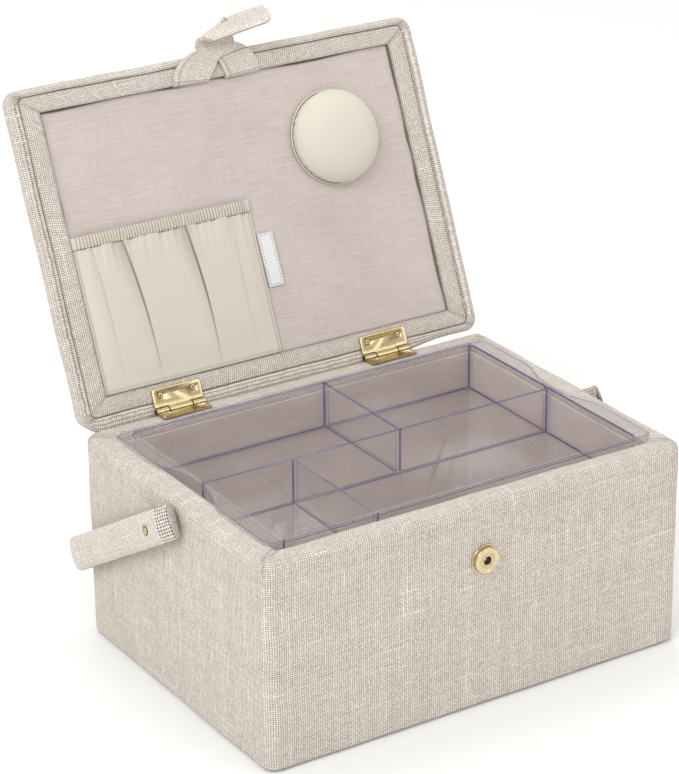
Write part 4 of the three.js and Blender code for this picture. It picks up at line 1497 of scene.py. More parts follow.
@dataclass
class Tray(Assembly):
    """The clear lift-out tray: the solid's shape with moulded, rounded edges.

    Attributes:
        corner: width of the rounding where faces meet in a corner.
        outside: share of it on outer edges.
        sharp: faces that meet at more than this many degrees are rounded.
        top: height of the tray's upper face.
        divider_drop: how far the dividers stop under it.
        near: how close to that level a divider's top is found.
        upward: least z of the normal of a face that looks up.
        slant: least x and y of the normal of a face that stands across a corner.
        fillet_area: slanted upright faces smaller than this, in square millimetres, round the cells' corners.
    """

    corner: float = 0.6
    outside: float = 0.5
    sharp: float = 40.0
    top: float = 118.4
    divider_drop: float = 1.5
    near: float = 0.1
    upward: float = 0.9
    slant: float = 0.5
    fillet_area: float = 20.0

    def build(self) -> None:
        """Builds the tray from a copy of its solid, with violet edges where one looks along the plastic."""
        mesh = solid_copy(self.nodes["tray"], "clear_tray")
        piece = Piece("clear_tray", "tray", self.finishes.clear, "clear_plastic", ["tray"], crisp=self.sharp)
        thing = piece.of_mesh(mesh)
        mesh.materials.append(self.finishes.clear_edge)
        normals, centres = read(mesh.polygons, "normal", 3), read(mesh.polygons, "center", 3)
        divider_top = (self.top - self.divider_drop) * MM
        on_divider = (normals[:, 2] > self.upward) & (np.abs(centres[:, 2] - divider_top) < self.near * MM)
        small = read(mesh.polygons, "area") < self.fillet_area * MM * MM
        slanted = (np.abs(normals[:, :2]).min(axis=1) > self.slant) & small
        in_corner = slanted & (centres[:, 2] < divider_top)
        mesh.polygons.foreach_set("material_index", (on_divider | in_corner).astype(np.int32))
        bevelled(thing, self.corner, edge_weights(mesh, self.sharp, self.outside), material=1)


# Lid


@dataclass
class Lid(Assembly):
    """The padded lid: cloth, wadding, board, border and lining.

    Attributes:
        start: s of the lid's hinge edge.
        groove_end: how far in the groove between roll and frame is at the ends.
        groove_long: the same at the long sides.
        hem_depth: how deep the cloth's hem lies.
        hem_reach: how far in it reaches.
        board_inset: how far in the board's edge is.
        opening_end: how far in the frame's opening is at the ends.
        opening_long: the same at the long sides.
        roll_fall: how deep the roll falls at the groove.
        roll_shape: power of the fall.
        softness: height of the cloth's slow waves.
        softness_span: length over which they turn.
        row_step: longest stretch of a section between two rows.
        swell: how far the hinge edge bulges where the open lid rests on the rim.
        swell_reach: stretch of the lid over which it does.
        swell_ease: stretch over which it dies out towards the outer face.
        crown: how far the middle of the outer face stands over its edge.
        border_crown: the same for the frame.
        shadow: width of the shade where two pieces meet.
        fine: width of the band along the lining's edge with close grid lines.
        fine_lines: how many lines it has.
        middle_lines: how many lines the rest has.
        stations: shares of the way out at which the outer face has loops.
        wadding_stations: the same for the wadding.
    """

    start: float = 2.0
    depth: float = 181.5
    thick: float = 7.6
    corner: float = 8.0
    roll_round: float = 3.0
    cloth: float = 0.9
    crown: float = 2.0
    groove_end: float = 7.0
    groove_long: float = 4.3
    hem_depth: float = 2.0
    hem_reach: float = 12.5
    board_thick: float = 2.2
    board_inset: float = 3.8
    border_thick: float = 1.7
    opening_end: float = 18.0
    opening_long: float = 14.0
    border_round: float = 0.7
    lining_thick: float = 0.9
    sharp_corner: float = 0.8
    roll_fall: float = 0.7
    roll_shape: float = 2.2
    mitre_depth: float = 0.5
    mitre_width: float = 0.7
    mitre_shade: float = 0.3
    softness: float = 0.2
    softness_span: float = 15.0
    swell: float = 3.1
    swell_reach: float = 4.0
    swell_ease: float = 2.0
    border_crown: float = 0.25
    shadow: float = 0.9
    groove_shade: float = 0.5
    fine: float = 9.0
    fine_lines: int = 28
    middle_lines: int = 62
    stations: tuple[float, ...] = (0.0, 0.1, 0.25, 0.42, 0.58, 0.74, 0.88, 0.96)
    wadding_stations: tuple[float, ...] = (0.0, 0.25, 0.5, 0.75, 0.95)
    row_step: float = 2.0
    ring: Ring = Ring(corner_steps=14, side_steps=36)

    def build(self) -> None:
        """Builds every layer of the lid in order."""
        self.cover()
        self.wadding()
        self.border()
        self.lining()
        self.keep("lid_board", self.finishes.board)

    @property
    def half(self) -> float:
        """Half of the lid's depth."""
        return self.depth / 2

    @property
    def middle(self) -> float:
        """s of the lid's middle."""
        return self.start + self.half

    def edge(self, depth: float) -> Array:
        """Round outer edge: two arcs with a straight side between.

        Args:
            depth: how far it lies under the cloth's outer face.

        Returns:
            Pairs of inset and n.
        """
        radius = self.roll_round - depth
        under = arc(self.roll_round, self.roll_round - self.thick, radius, 270, 180)
        over = arc(self.roll_round, -self.roll_round, radius, 180, 90)
        return joined(under, over)

    def cover_edge(self, groove: float) -> Array:
        """Section of the cloth round the edge: the roll, which falls to the groove by a power, and the hem.

        Args:
            groove: how far in the groove is.

        Returns:
            Pairs of inset and n.
        """
        share = np.linspace(0.25, 1.0, 5)
        inset = self.roll_round + (groove - self.roll_round) * share
        fall = np.stack([inset, -self.roll_fall * share**self.roll_shape], axis=1)
        deep = -self.hem_depth
        return joined(
            self.edge(0.0),
            fall,
            [[groove, deep], [self.hem_reach, deep], [self.hem_reach, deep - self.cloth]],
            [[groove - self.cloth, deep - self.cloth], [groove - self.cloth, -self.cloth - self.roll_fall]],
            self.edge(self.cloth)[::-1],
        )

    def sections(self, section: Callable[[float], Array]) -> list[Array]:
        """Paired sections of the ends and the long sides."""
        return refined([section(self.groove_end), section(self.groove_long)], self.row_step)

    def loops(self, ends: Array, longs: Array) -> Array:
        """Loops of the lid from paired sections of its ends and its long sides."""
        radius = np.maximum(self.corner - longs[:, 0], self.sharp_corner)
        half_x, half_s = PLAN.half_width - ends[:, 0], self.half - longs[:, 0]
        return self.ring.loops(half_x, half_s, radius, ends[:, 1], longs[:, 1], self.middle)

    def crowned(self, level: float, shares: Array) -> Array:
        """Loops over the crowned outer face: n = level - crown * (1 - share squared).

        Args:
            level: n of its edge.
            shares: how far out from the middle each loop is.

        Returns:
            Loops by columns by x, s, n.
        """
        half_x, half_s = PLAN.half_width - self.roll_round, self.half - self.roll_round
        n = level - self.crown * (1 - shares**2)
        return self.ring.loops(half_x * shares, half_s * shares, self.corner * shares, n, n, self.middle)

    def mitres(self, points: Array, first: float, last: float) -> Array:
        """1 in the folds that run at half a right angle across the corners, between two insets.

        Args:
            points: grid in the lid's frame.
            first: inset where the fold starts.
            last: inset where it ends.

        Returns:
            The depth of the crease at each point.
        """
        dx = PLAN.half_width - np.abs(points[..., 0])
        ds = self.half - np.abs(points[..., 1] - self.middle)
        line = np.array([[first, first], [last + 4.0, last]])
        away = distance_to_line(np.stack([dx, ds], axis=-1), line)
        front = smooth((points[..., 2] + self.hem_depth) / self.hem_depth)
        return ridge(away, self.mitre_width) * front

    def cover(self) -> None:
        """Linen over the lid's back, round its edge and down into the groove, with folds at the corners."""
        shares = np.array(self.stations)
        ends, longs = self.sections(self.cover_edge)
        outer = self.crowned(-self.thick, shares)
        inner = self.crowned(-self.thick + self.cloth, shares[::-1])
        points = np.concatenate([outer, self.loops(ends, longs), inner])
        spine = points[:, self.ring.corner_steps + self.ring.side_steps // 2, :]
        turn = self.ring.columns()[2]
        cloth = spread_cloth(points, spine, len(shares), turn)
        crease = self.mitres(points, 1.0, 5.0)
        in_groove = smooth((ends[:, 0] - self.groove_end + self.shadow) / self.shadow)
        front = slice(len(outer), len(outer) + len(ends))
        shade = self.mitre_shade * crease
        shade[front] = np.maximum(shade[front], self.groove_shade * in_groove[:, None])
        at_hinge = smooth((self.start + self.swell_reach - points[..., 1]) / self.swell_reach)
        at_hinge = at_hinge * smooth((points[..., 2] + self.thick) / self.swell_ease)
        swell = self.swell * at_hinge * leaning_on(points[..., 0])
        points = rippled(points, self.softness, self.softness_span)
        points[..., 1] -= swell
        points[..., 2] -= self.mitre_depth * crease
        patch = Patch(points, cloth, shade).moved(lid_place)
        Piece("lid_cloth", "lid", self.finishes.linen, "linen", ["lid_cover"]).of_patches([patch])

    def wadding(self) -> None:
        """Wadding between the lid's cloth and its board."""
        depth = self.cloth + PLAN.seat
        top = -self.hem_depth - self.cloth
        bottom = top - PLAN.seat - self.board_thick - PLAN.seat
        inset = self.board_inset - PLAN.seat

        def section(groove: float) -> Array:
            """Section of the wadding round the edge of the board."""
            wall = groove - depth
            inside = [[wall, -depth - self.roll_fall], [wall, top], [inset, top], [inset, bottom]]
            return joined(self.edge(depth), inside)

        ends, longs = self.sections(section)
        shares = np.array(self.wadding_stations)
        outer = self.crowned(-self.thick + depth, shares)
        half_x = (PLAN.half_width - inset) * shares[::-1]
        half_y = (self.half - inset) * shares[::-1]
        flat = np.full(len(shares), bottom)
        inner = self.ring.loops(half_x, half_y, self.corner * shares[::-1] / 2, flat, flat, self.middle)
        points = np.concatenate([outer, self.loops(ends, longs), inner])
        patch = Patch(points).moved(lid_place)
        piece = Piece("lid_wadding", "lid", self.finishes.wadding, "padding", ["lid_padding"])
        piece.of_patches([patch])

    def border(self) -> None:
        """Linen-covered frame inside the lid, softly padded, with mitred corners."""
        ease = self.border_round

        def section(groove: float, opening: float) -> Array:
            """Section of the frame: up, over with eased edges and a slight crown, and down.

            Args:
                groove: how far in the groove is.
                opening: how far in the frame's opening is.

            Returns:
                Pairs of inset and n.
            """
            outer = groove + PLAN.seat
            share = np.linspace(0.1, 0.9, 7)
            width = opening - outer - 2 * ease
            top = np.stack([outer + ease + width * share, self.border_crown * np.sin(np.pi * share)], axis=1)
            return joined(
                [[outer, -self.border_thick]],
                arc(outer + ease, -ease, ease, 180, 90, 5),
                top,
                arc(opening - ease, -ease, ease, 90, 0, 5),
                [[opening, -self.border_thick], [outer, -self.border_thick]],
            )

        over_end = section(self.groove_end, self.opening_end)
        over_long = section(self.groove_long, self.opening_long)
        ends, longs = refined([over_end, over_long], self.row_step)
        points = self.loops(ends, longs)
        cloth = round_cloth(points, ends, 0)
        crease = self.mitres(points, 6.0, 14.5)
        inset = ends[:, 0]
        beside_roll = smooth((self.groove_end + PLAN.seat + self.shadow - inset) / self.shadow)
        beside_lining = smooth((inset - self.opening_end + self.shadow) / self.shadow)
        beside = np.maximum(0.45 * beside_roll, 0.7 * beside_lining)
        shade = np.maximum(self.mitre_shade * crease, beside[:, None])
        points = rippled(points, self.softness / 2, self.softness_span)
        points[..., 2] -= self.mitre_depth * crease
        patch = Patch(points, cloth, shade).moved(lid_place)
        Piece("inner_border", "lid", self.finishes.linen, "linen", ["lid_border"]).of_patches([patch])

    def lines(self, half: float) -> Array:
        """Grid lines from -half to half, close together at both ends, where the lining meets the frame."""
        inner = half - self.fine
        edge = np.linspace(inner, half, self.fine_lines)
        return np.concatenate([-edge[::-1], np.linspace(-inner, inner, self.middle_lines)[1:-1], edge])

    def lining(self) -> None:
        """Lining stretched over card in the frame's opening, with the faintest waves.

        It has painted shade close to the frame, less so below, in a band whose width wanders along it.
        """
        inset = self.hem_reach + PLAN.seat
        half_x = PLAN.half_width - inset
        half_y = self.half - inset
        x, s = np.meshgrid(self.lines(half_x), self.middle + self.lines(half_y))
        n = -self.hem_depth + 0.06 * np.sin(x / 13.0 + 0.4 * np.sin(s / 9.0))
        points = np.stack([x, s, n], axis=-1)
        uneven_x = 0.5 * np.sin(s / 6.0 + 1.5 * np.sin(s / 17.0))
        uneven_s = 0.6 * np.sin(x / 8.0 + 1.5 * np.sin(x / 23.0))
        above = s > self.middle
        in_x = PLAN.half_width - self.opening_end - np.abs(x) - uneven_x
        in_s = self.half - self.opening_long - np.abs(s - self.middle) - uneven_s * above
        at_ends = smooth((1.2 - in_x) / 1.4) * 0.85
        at_longs = smooth((1.3 - in_s) / 1.5) * (0.5 + 0.5 * above)
        patch = Patch(points, crease=np.maximum(at_ends, at_longs)).moved(lid_place)
        piece = Piece("lid_inner_lining", "lid", self.finishes.lining, "lining", ["lid_lining"])
        panel = piece.of_patches([patch], facing=lid_normal())
        thickened(panel, self.lining_thick)
        flat = (2 * half_x * MM, 2 * half_y * MM)


# What is sewn to the lid's lining

ON_LINING = -1.7  # n of what lies on the lining


@dataclass
class Pocket(Assembly):
    """The gathered pocket: a slack panel sewn on three sides, and its pleated hem.

    Attributes:
        bulge: how far the slack cloth stands off.
        side_share: share of the width over which it rises from both sides, twice over.
        foot_share: share of the height over which it rises from the foot.
        low_share: share of the slack that the foot already has.
        pleats: how many pleats the hem has.
        pucker_reach: how far the gathers reach down from the hem.
        pucker: how strong they are.
        lip: half of the width of a pleat's lip.
        foot_seam: how far in the seam at the foot is.
        side_seam: how far in the seams at the sides are.
        under_hem: how far the panel reaches under the hem.
        thinner: thickness of the panel as a share of the hem's.
        panel_grid: columns and rows of the panel.
        hem_grid: columns and rows of the hem.
        pleat_lines: for each pleat its x at the foot, its x at the hem, its depth, and how far its line bows.
    """

    left: float = -109.1
    right: float = 0.0
    bottom: float = 16.4
    top: float = 101.5
    cloth: float = 0.9
    bulge: float = 1.9
    hem: float = 7.0
    side_share: float = 0.16
    foot_share: float = 0.2
    low_share: float = 0.3
    pleats: float = 61.0
    pleat_depth: float = 0.34
    pucker_reach: float = 26.0
    pucker: float = 1.2
    lip: float = 0.45
    foot_seam: float = 1.4
    side_seam: float = 1.3
    seam_width: float = 0.5
    seam_depth: float = 0.12
    seam_shade: float = 0.35
    under_hem: float = 0.6
    thinner: float = 0.8
    panel_grid: tuple[int, int] = (330, 90)
    hem_grid: tuple[int, int] = (560, 16)
    pleat_lines: tuple[tuple[float, float, float, float], ...] = (
        (-73.4, -81.0, 1.25, 2.2),
        (-37.0, -42.5, 1.35, 2.4),
        (-96.0, -98.5, 0.35, 1.0),
        (-13.0, -12.0, 0.3, -1.0),
    )

    def grid(self, low: float, high: float, size: tuple[int, int]) -> tuple[Array, Array, Array, Array]:
        """A grid over the pocket's width.

        Args:
            low: s of its lower edge.
            high: s of its upper edge.
            size: columns and rows.

        Returns:
            x and s of each point, and its shares of the pocket's width and height.
        """
        x, s = np.meshgrid(np.linspace(self.left, self.right, size[0]), np.linspace(low, high, size[1]))
        return x, s, (x - self.left) / (self.right - self.left), (s - self.bottom) / (self.top - self.bottom)

    def slack(self, across: Array, up: Array) -> Array:
        """How far the cloth stands off: it rises from both sides, from the foot, and on towards the top."""
        from_side = np.minimum(across, 1 - across)
        rise = self.low_share + (1 - self.low_share) * smooth(up)
        return smooth(2 * from_side / self.side_share) * rise * smooth(up / self.foot_share)

    def folds(self, x: Array, s: Array) -> tuple[Array, Array]:
        """The pleats: along each line the cloth laps over itself with a sharp lip that dies out to the right.

        On the left of a lip lies a gather that is wide above, and a shadow close under the lip.

        Args:
            x: places across.
            s: places up.

        Returns:
            Height to add, and how deep in a crease each point lies, which sets painted shade under each lip,
            along it and in the gathers.
        """
        up = np.clip((s - self.bottom) / (self.top - self.bottom), 0.0, 1.0)
        height = np.zeros_like(x)
        crease = np.zeros_like(x)
        for low, high, depth, bow in self.pleat_lines:
            off = x - low - (high - low) * up - bow * np.sin(np.pi * up)
            edge = smooth((off + self.lip) / (2 * self.lip))
            lap = edge * np.exp(-np.maximum(off, 0.0) / (5.0 + 9.0 * up))
            gather = ridge(off + 3.0, 1.5 + 4.5 * up**2) * up**2
            strength = depth * smooth(up / 0.06) * (0.55 + 0.45 * up)
            height += strength * (lap - 0.6 * gather)
            under = np.exp(-np.maximum(-off, 0.0) / (1.2 + 2.5 * up**2)) * (1 - edge)
            line = ridge(off + self.lip, self.lip) * (0.5 + np.sin(np.pi * up) ** 2) / 1.5
            crease += depth * smooth(up / 0.04) * (0.25 * under + 0.75 * line + 0.12 * gather)
        return height, crease

    def puckers(self, x: Array, s: Array) -> Array:
        """Small gathers under the hem that die out downwards: sines of three lengths across.

        Args:
            x: places across.
            s: places up.

        Returns:
            Height to add.
        """
        below = np.clip((self.top - self.hem - s) / self.pucker_reach, 0.0, 1.0)
        fade = (1 - below) ** 2
        waves = np.sin(x * 1.35 + 0.6 * np.sin(x / 7)) * 0.16
        waves += np.sin(x * 0.62 + 1.3 + 0.8 * np.sin(x / 11)) * 0.22 * (1 - below)
        waves += np.sin(x * 0.27 + 0.4) * 0.28
        return self.pucker * waves * fade

    def panel(self) -> Thing:
        """The slack panel under the hem.

        Returns:
            The piece.
        """
        x, s, across, up = self.grid(self.bottom, self.top - self.hem + self.under_hem, self.panel_grid)
        stand = self.slack(across, up)
        folds, crease = self.folds(x, s)
        inside = smooth(across * 20) * smooth((1 - across) * 20)
        lift = stand * self.bulge + stand * folds + inside * self.puckers(x, s)
        from_side = np.minimum(x - self.left, self.right - x)
        seam = ridge(s - self.bottom - self.foot_seam, self.seam_width)
        seam = np.clip(seam + ridge(from_side - self.side_seam, self.seam_width), 0.0, 1.0)
        lift = np.maximum(lift, 0.0) - self.seam_depth * seam
        points = np.stack([x, s, ON_LINING + self.cloth + lift], axis=-1)
        crease = np.clip(crease * np.sqrt(stand) + self.seam_shade * seam, 0.0, 1.0)
        patch = Patch(points, crease=crease)
        piece = Piece("gathered_pocket", "lid", self.finishes.cotton, "pocket_cotton", ["pocket"])
        panel = piece.of_patches([patch.moved(lid_place)], facing=lid_normal())
        thickened(panel, self.cloth * self.thinner)
        return panel

    def band(self) -> Thing:
        """The hem: fine pleats, n = the slack + depth * a sharpened sine across, pinched at the stitches.

        Returns:
            The piece.
        """
        x, s, across, up = self.grid(self.top - self.hem, self.top, self.hem_grid)
        share = (s - self.top + self.hem) / self.hem
        phase = 2 * np.pi * self.pleats * across + 1.1 * np.sin(x / 6.3) + 0.5 * share * np.sin(x / 3.1)
        pleat = np.sin(phase) - 0.25 * np.cos(2 * phase)
        swell = 0.55 + 0.45 * np.sin(np.pi * np.clip(share, 0, 1)) ** 0.5
        edge = smooth(across * 30) * smooth((1 - across) * 30)
        folds, _ = self.folds(x, s)
        stand = self.slack(across, up)
        lift = stand * (self.bulge + 0.75 * folds) + self.pleat_depth * pleat * swell * edge
        roll = 0.55 * np.sin(np.pi * np.clip(share, 0, 1)) ** 0.6
        frill = 0.25 * pleat * smooth(share * 2 - 1)
        points = np.stack([x, s + frill, ON_LINING + self.cloth + lift + roll], axis=-1)
        # Painted shade in the pleats' valleys and along the stitched pinch.
        stitch = ridge(share - 0.03, 0.07)
        crease = np.clip(0.55 * smooth(-pleat) * edge + 0.6 * stitch, 0.0, 1.0)
        piece = Piece("pleated_hem", "lid", self.finishes.cotton, "pocket_cotton", ["pocket_hem"])
        patch = Patch(points, crease=crease).moved(lid_place)
        band = piece.of_patches([patch], facing=lid_normal())
        thickened(band, self.cloth)
        return band

    def build(self) -> None:
        """Builds the panel and its hem."""
        panel = self.panel()
        hem = self.band()


@dataclass
class LabelTag(Assembly):
    """A bare tape tag sewn to the lining beside the pocket.

    Attributes:
        x: place of its middle across.
        s: place of its middle up.
        tape: width that the tape was woven in; not used.
        turn: how far it is turned, in radians.
        curl: how far its free edge stands up.
        grid: columns and rows.
    """

    x: float = 6.1
    s: float = 67.0
    tape: float = 10.0
    width: float = 9.6
    length: float = 30.0
    thick: float = 0.5
    turn: float = 0.02
    curl: float = 0.5
    stitch_inset: float = 1.2
    stitch_pitch: float = 1.9
    stitch_width: float = 0.3
    grid: tuple[int, int] = (50, 150)

    def build(self) -> None:
        """A strip of tape: its free edge curls up a little, and stitches run round inside its edge."""
        u, v = np.meshgrid(*(np.linspace(-0.5, 0.5, count) for count in self.grid))
        across, along = u * self.width, v * self.length
        x = self.x + across * math.cos(self.turn) - along * math.sin(self.turn)
        s = self.s + across * math.sin(self.turn) + along * math.cos(self.turn)
        lift = self.curl * smooth(u + 0.5) ** 2 * (0.6 + 0.4 * np.sin(3.0 * v))
        points = np.stack([x, s, ON_LINING + self.thick + lift], axis=-1)
        inside = np.minimum(self.width / 2 - np.abs(across), self.length / 2 - np.abs(along))
        # Darker dashes for the stitches, and painted shade along the tape's edge.
        stitch = ridge(inside - self.stitch_inset, self.stitch_width)
        dashes = smooth(np.sin(2 * np.pi * (across + along) / self.stitch_pitch) * 2 + 0.8)
        crease = np.clip(0.8 * stitch * dashes + 0.6 * (1 - smooth(inside / 0.35)), 0.0, 1.0)
        patch = Patch(points, np.stack([across, along], axis=-1), crease).moved(lid_place)
        piece = Piece("bare_tag", "lid", self.finishes.tape, "label_tape", ["label_tag"])
        tag = piece.of_patches([patch], facing=lid_normal())
        thickened(tag, self.thick)
        area = self.width * self.length * MM * MM


@dataclass
class Pincushion(Assembly):
    """The stuffed dome and the cord round its foot.

    Attributes:
        x: place of its middle across.
        s: place of its middle up.
        pipe: radius of the cord.
        fullness: power of cos t in the dome's radius, lower for a fuller dome.
        lap: how far the cotton hangs over the cord.
        lap_start: height at which it starts to.
        lap_ease: stretch over which it does.
        foot_rise: how much higher the foot stands than the bare formula gives.
        gathers: how many small gathers run round it.
        steps: columns of the dome.
        rows: rows of the dome.
        tuck: radius, as a share, and height of the loops under the foot.
    """

    x: float = 62.0
    s: float = 125.0
    radius: float = 25.6
    height: float = 14.6
    pipe: float = 0.55
    fullness: float = 0.76
    lap: float = 1.5
    gathers: int = 34
    gather_depth: float = 0.28
    lap_start: float = 2.4
    lap_ease: float = 2.0
    foot_rise: float = 1.1
    steps: int = 96
    rows: int = 30
    tuck: tuple[tuple[float, float], ...] = ((0.0, 0.0), (0.5, 0.0), (0.9, 0.0), (0.965, 0.35))

    def dome(self) -> None:
        """Cotton over stuffing: r = R cos t to a power, n = H sin t, with small gathers that fade upwards."""
        turn = np.linspace(0.0, 2 * np.pi, self.steps + 1)
        rise = np.radians(np.linspace(0.0, 90.0, self.rows))[:, None]
        upper_r = self.radius * np.cos(rise) ** self.fullness
        upper_n = self.height * np.sin(rise)
        tuck = np.array(self.tuck)
        upper_r = upper_r + self.lap * smooth((upper_n - self.lap_start) / self.lap_ease) * np.cos(rise)
        radius = np.concatenate([tuck[:, :1] * self.radius, upper_r])
        height = np.concatenate([tuck[:, 1:], upper_n + self.foot_rise * (1 - np.sin(rise))])
        fade = np.exp(-((height / self.height * 4.0) ** 1.5)) * (radius / self.radius)
        wobble = np.sin(self.gathers * turn + 1.2 * np.sin(3 * turn)) * (0.6 + 0.4 * np.sin(5 * turn + 1))
        uneven = 0.22 * np.sin(2 * turn + 0.7) * np.sin(np.pi * height / self.height)
        radius = radius + (self.gather_depth * wobble * fade + uneven) * (radius > 0)
        x, s = radius * np.cos(turn), radius * np.sin(turn)
        n = np.broadcast_to(height, x.shape)
        points = np.stack([self.x + x, self.s + s, ON_LINING + n], axis=-1)
        # Painted shade low on the dome, most in the valleys between the gathers, fading upwards.
        crease = np.clip(fade * (0.1 + 0.3 * smooth(-wobble)), 0.0, 1.0)
        patch = Patch(points, crease=crease).moved(lid_place)
        piece = Piece("stuffed_dome", "lid", self.finishes.cream, "cushion_cotton", ["pincushion"])
        piece.of_patches([patch])

    def piping(self) -> None:
        """A twisted cord: a ring whose section is bumpy along a helix."""
        turn = np.linspace(0.0, 2 * np.pi, 181)
        around = np.linspace(0.0, 2 * np.pi, 13)[:, None]
        thick = self.pipe * (0.93 + 0.07 * np.cos(2 * around + 60 * turn))
        radius = self.radius + self.pipe + PLAN.seat / 2 + thick * np.cos(around)
        n = ON_LINING + self.pipe + thick * np.sin(around)
        points = np.stack([self.x + radius * np.cos(turn), self.s + radius * np.sin(turn), n], axis=-1)
        cloth = np.stack(np.broadcast_arrays(self.radius * turn[None, :], self.pipe * around), axis=-1)
        # Painted shadow under the cord, on its lower-left side only.
        lower_left = smooth(0.5 + np.cos(turn - math.radians(215)))
        crease = smooth(-np.sin(around) * 2.0 + 0.9) * lower_left
        piece = Piece("dome_piping", "lid", self.finishes.cream, "cushion_cotton", ["pincushion_piping"])
        piece.of_patches([Patch(points, cloth, crease).moved(lid_place)])

    def build(self) -> None:
        """Builds the dome and its cord."""
        self.dome()
        self.piping()


# Closure strap


@dataclass
class ClosureStrap(Assembly):
    """The strap that closes the lid: two legs, a neck, and a tab folded over to one side.

    Attributes:
        overlap: how far one of its layers reaches past the bend.
        fold_start: where the fold starts, from its centre.
        fold_stop: where it ends.
        bend_half: half of the neck's stretch that bends over the lid's edge.
        fullness: how far the padded neck and tab stand up in the middle.
        mid: n of the middle of the strap's thickness.
        taper: how far the neck's right side runs in towards the fold.
        seam_fall: how much lower the seam across the right leg is at its far side.
        snap_at: how far from the fold's centre the plug is along the tab.
        fold_in_plane: degrees from x to the fold's line in the lid's plane.
        fold_out_of_plane: degrees by which the line leaves the plane.
        fold_angle: degrees that the tab is folded over.
        fold_reach: stretch over which it turns.
        flat_half: half width of the tab's flat middle.
        curl: how far its left side curls up.
        notch: x and s of the point where the two legs meet.
    """

    bend_s: float = 185.3
    fold_s: float = 195.5
    mid: float = 1.25
    thick: float = 1.9
    neck_width: float = 24.0
    tab_width: float = 23.0
    tab_length: float = 32.0
    tab_corner: float = 3.6
    taper: float = 3.4
    seam_fall: float = 0.27
    snap_at: float = 24.5
    fold_in_plane: float = 40.5
    fold_out_of_plane: float = -19.6
    fold_angle: float = 113.5
    fold_reach: float = 6.5
    fold_start: float = -3.2
    fold_stop: float = 6.0
    bend_half: float = 1.5
    fullness: float = 0.25
    overlap: float = 1.2
    layer: float = 0.5
    soft: float = 0.75
    flat_half: float = 5.5
    curl: float = 3.8
    notch: tuple[float, float] = (0.3, 179.2)

    def build(self) -> None:
        """Builds the legs, the neck and the tab."""
        self.legs()
        self.neck()
        self.tab()

    def legs(self) -> None:
        """Two strips from behind the lining, which meet in the neck: grids between their side curves."""
        rise = np.linspace(0.0, 1.0, 48)
        end = self.bend_s + self.overlap
        half = self.neck_width / 2 + self.overlap / 4
        left, right = PLAN.strap_x - half, PLAN.strap_x + half
        notch = self.notch
        sides = {
            "left": (
                bezier((-28.9, 169.2), (-29.6, 178.0), (-21.5, 183.6), (left, end), rise),
                bezier((-7.9, 168.9), (-5.0, 172.5), (-1.2, 177.3), notch, rise),
            ),
            "right": (
                bezier((3.6, 168.9), (2.6, 172.5), (1.2, 177.3), notch, rise),
                bezier((24.8, 169.2), (25.2, 176.5), (21.5, 183.0), (right, end), rise),
            ),
        }
        patches = []
        for side, (near, far) in sides.items():
            share = np.linspace(0.0, 1.0, 25)[None, :, None]
            flat = near[:, None, :] * (1 - share) + far[:, None, :] * share
            patches.append(self._leg_patch(flat, share[..., 0], rise[:, None], tucked=side == "right"))
        patches.append(self._crown_patch(sides["left"][0][-1], notch, sides["right"][1][-1]))
        piece = Piece("strap_strips", "lid", self.finishes.fine_linen, "linen", ["strap_legs"])
        legs = piece.of_patches([patch.moved(lid_place) for patch in patches], facing=lid_normal())
        thickened(legs, self.thick, offset=0.0, soft=self.soft, rim=self.finishes.linen_edge)

    def _leg_patch(self, flat: Array, share: Array, rise: Array, tucked: bool) -> Patch:
        """One leg: padded across, tucked down at its foot, and hemmed at its near edge.

        Args:
            flat: its points in the lid's plane.
            share: places across, from 0 to 1.
            rise: places up, from 0 to 1.
            tucked: whether its top goes under the other leg's cloth, with a seam from the notch outwards.

        Returns:
            The patch.
        """
        puff = 0.35 * np.sin(np.pi * share) + self.layer * smooth(rise)
        tuck = -2.4 * (1 - smooth(rise / 0.12))
        past = rise - 1 + self.seam_fall * share
        # Painted shade: a dark line along the hem, at the tucked foot, and along the other leg's edge where
        # this leg is tucked under.
        crease = 0.5 * ridge(share - 0.13, 0.03) * (1 - smooth(past / 0.05))
        crease = crease + 0.3 * (1 - smooth(rise / 0.1))
        if tucked:
            puff = puff - 0.45 * (1 - smooth(past / 0.05 + 0.5))
            crease = crease + 0.85 * ridge(past + 0.02, 0.035)
        n = np.broadcast_to(self.mid + puff + tuck, flat.shape[:2])
        across = np.broadcast_to((share - 0.5) * 22.0, n.shape)
        along = np.broadcast_to(rise * 19.0, n.shape)
        cloth = np.stack([across, along], axis=-1)
        points = np.concatenate([flat, n[..., None]], axis=-1)
        return Patch(points, cloth, np.clip(crease + 0 * n, 0.0, 1.0))

    def _crown_patch(self, left: Array, notch: Numbers, right: Array) -> Patch:
        """The cloth between the notch and the neck: a fan from the notch to the neck's edge.

        Args:
            left: left end of the neck's edge.
            notch: where the two legs meet.
            right: right end of the neck's edge.

        Returns:
            The patch.
        """
        across = np.linspace(0.0, 1.0, 29)[None, :, None]
        up = np.linspace(0.0, 1.0, 9)[:, None, None]
        edge = left * (1 - across) + right * across
        flat = np.asarray(notch) * (1 - up) + edge * up
        n = np.full((*flat.shape[:2], 1), self.mid + self.layer)
        return Patch(np.concatenate([flat, n], axis=-1))

    def fold_line(self, x: Array) -> Array:
        """Where the tab's fold starts, as y from its centre: along the fold, but not under the bend."""
        lean = math.tan(math.radians(self.fold_in_plane))
        return np.maximum(lean * x + self.fold_start, self.bend_s - self.fold_s + self.overlap)

    def strap_point(self, x: Array, y: Array, n: Array) -> Array:
        """Place in the lid's frame of a point of the flat strap, which turns about the fold past its line.

        The turn is the fold's whole angle times a smooth step of the distance past the line.

        Args:
            x: places across from the strap's middle.
            y: places along from the fold's centre.
            n: heights over the strap's middle.

        Returns:
            Points in the lid's frame.
        """
        turn = math.radians(self.fold_angle) * smooth((y - self.fold_line(x)) / self.fold_reach)
        return self.folded(np.stack([x, y, n], axis=-1), turn)

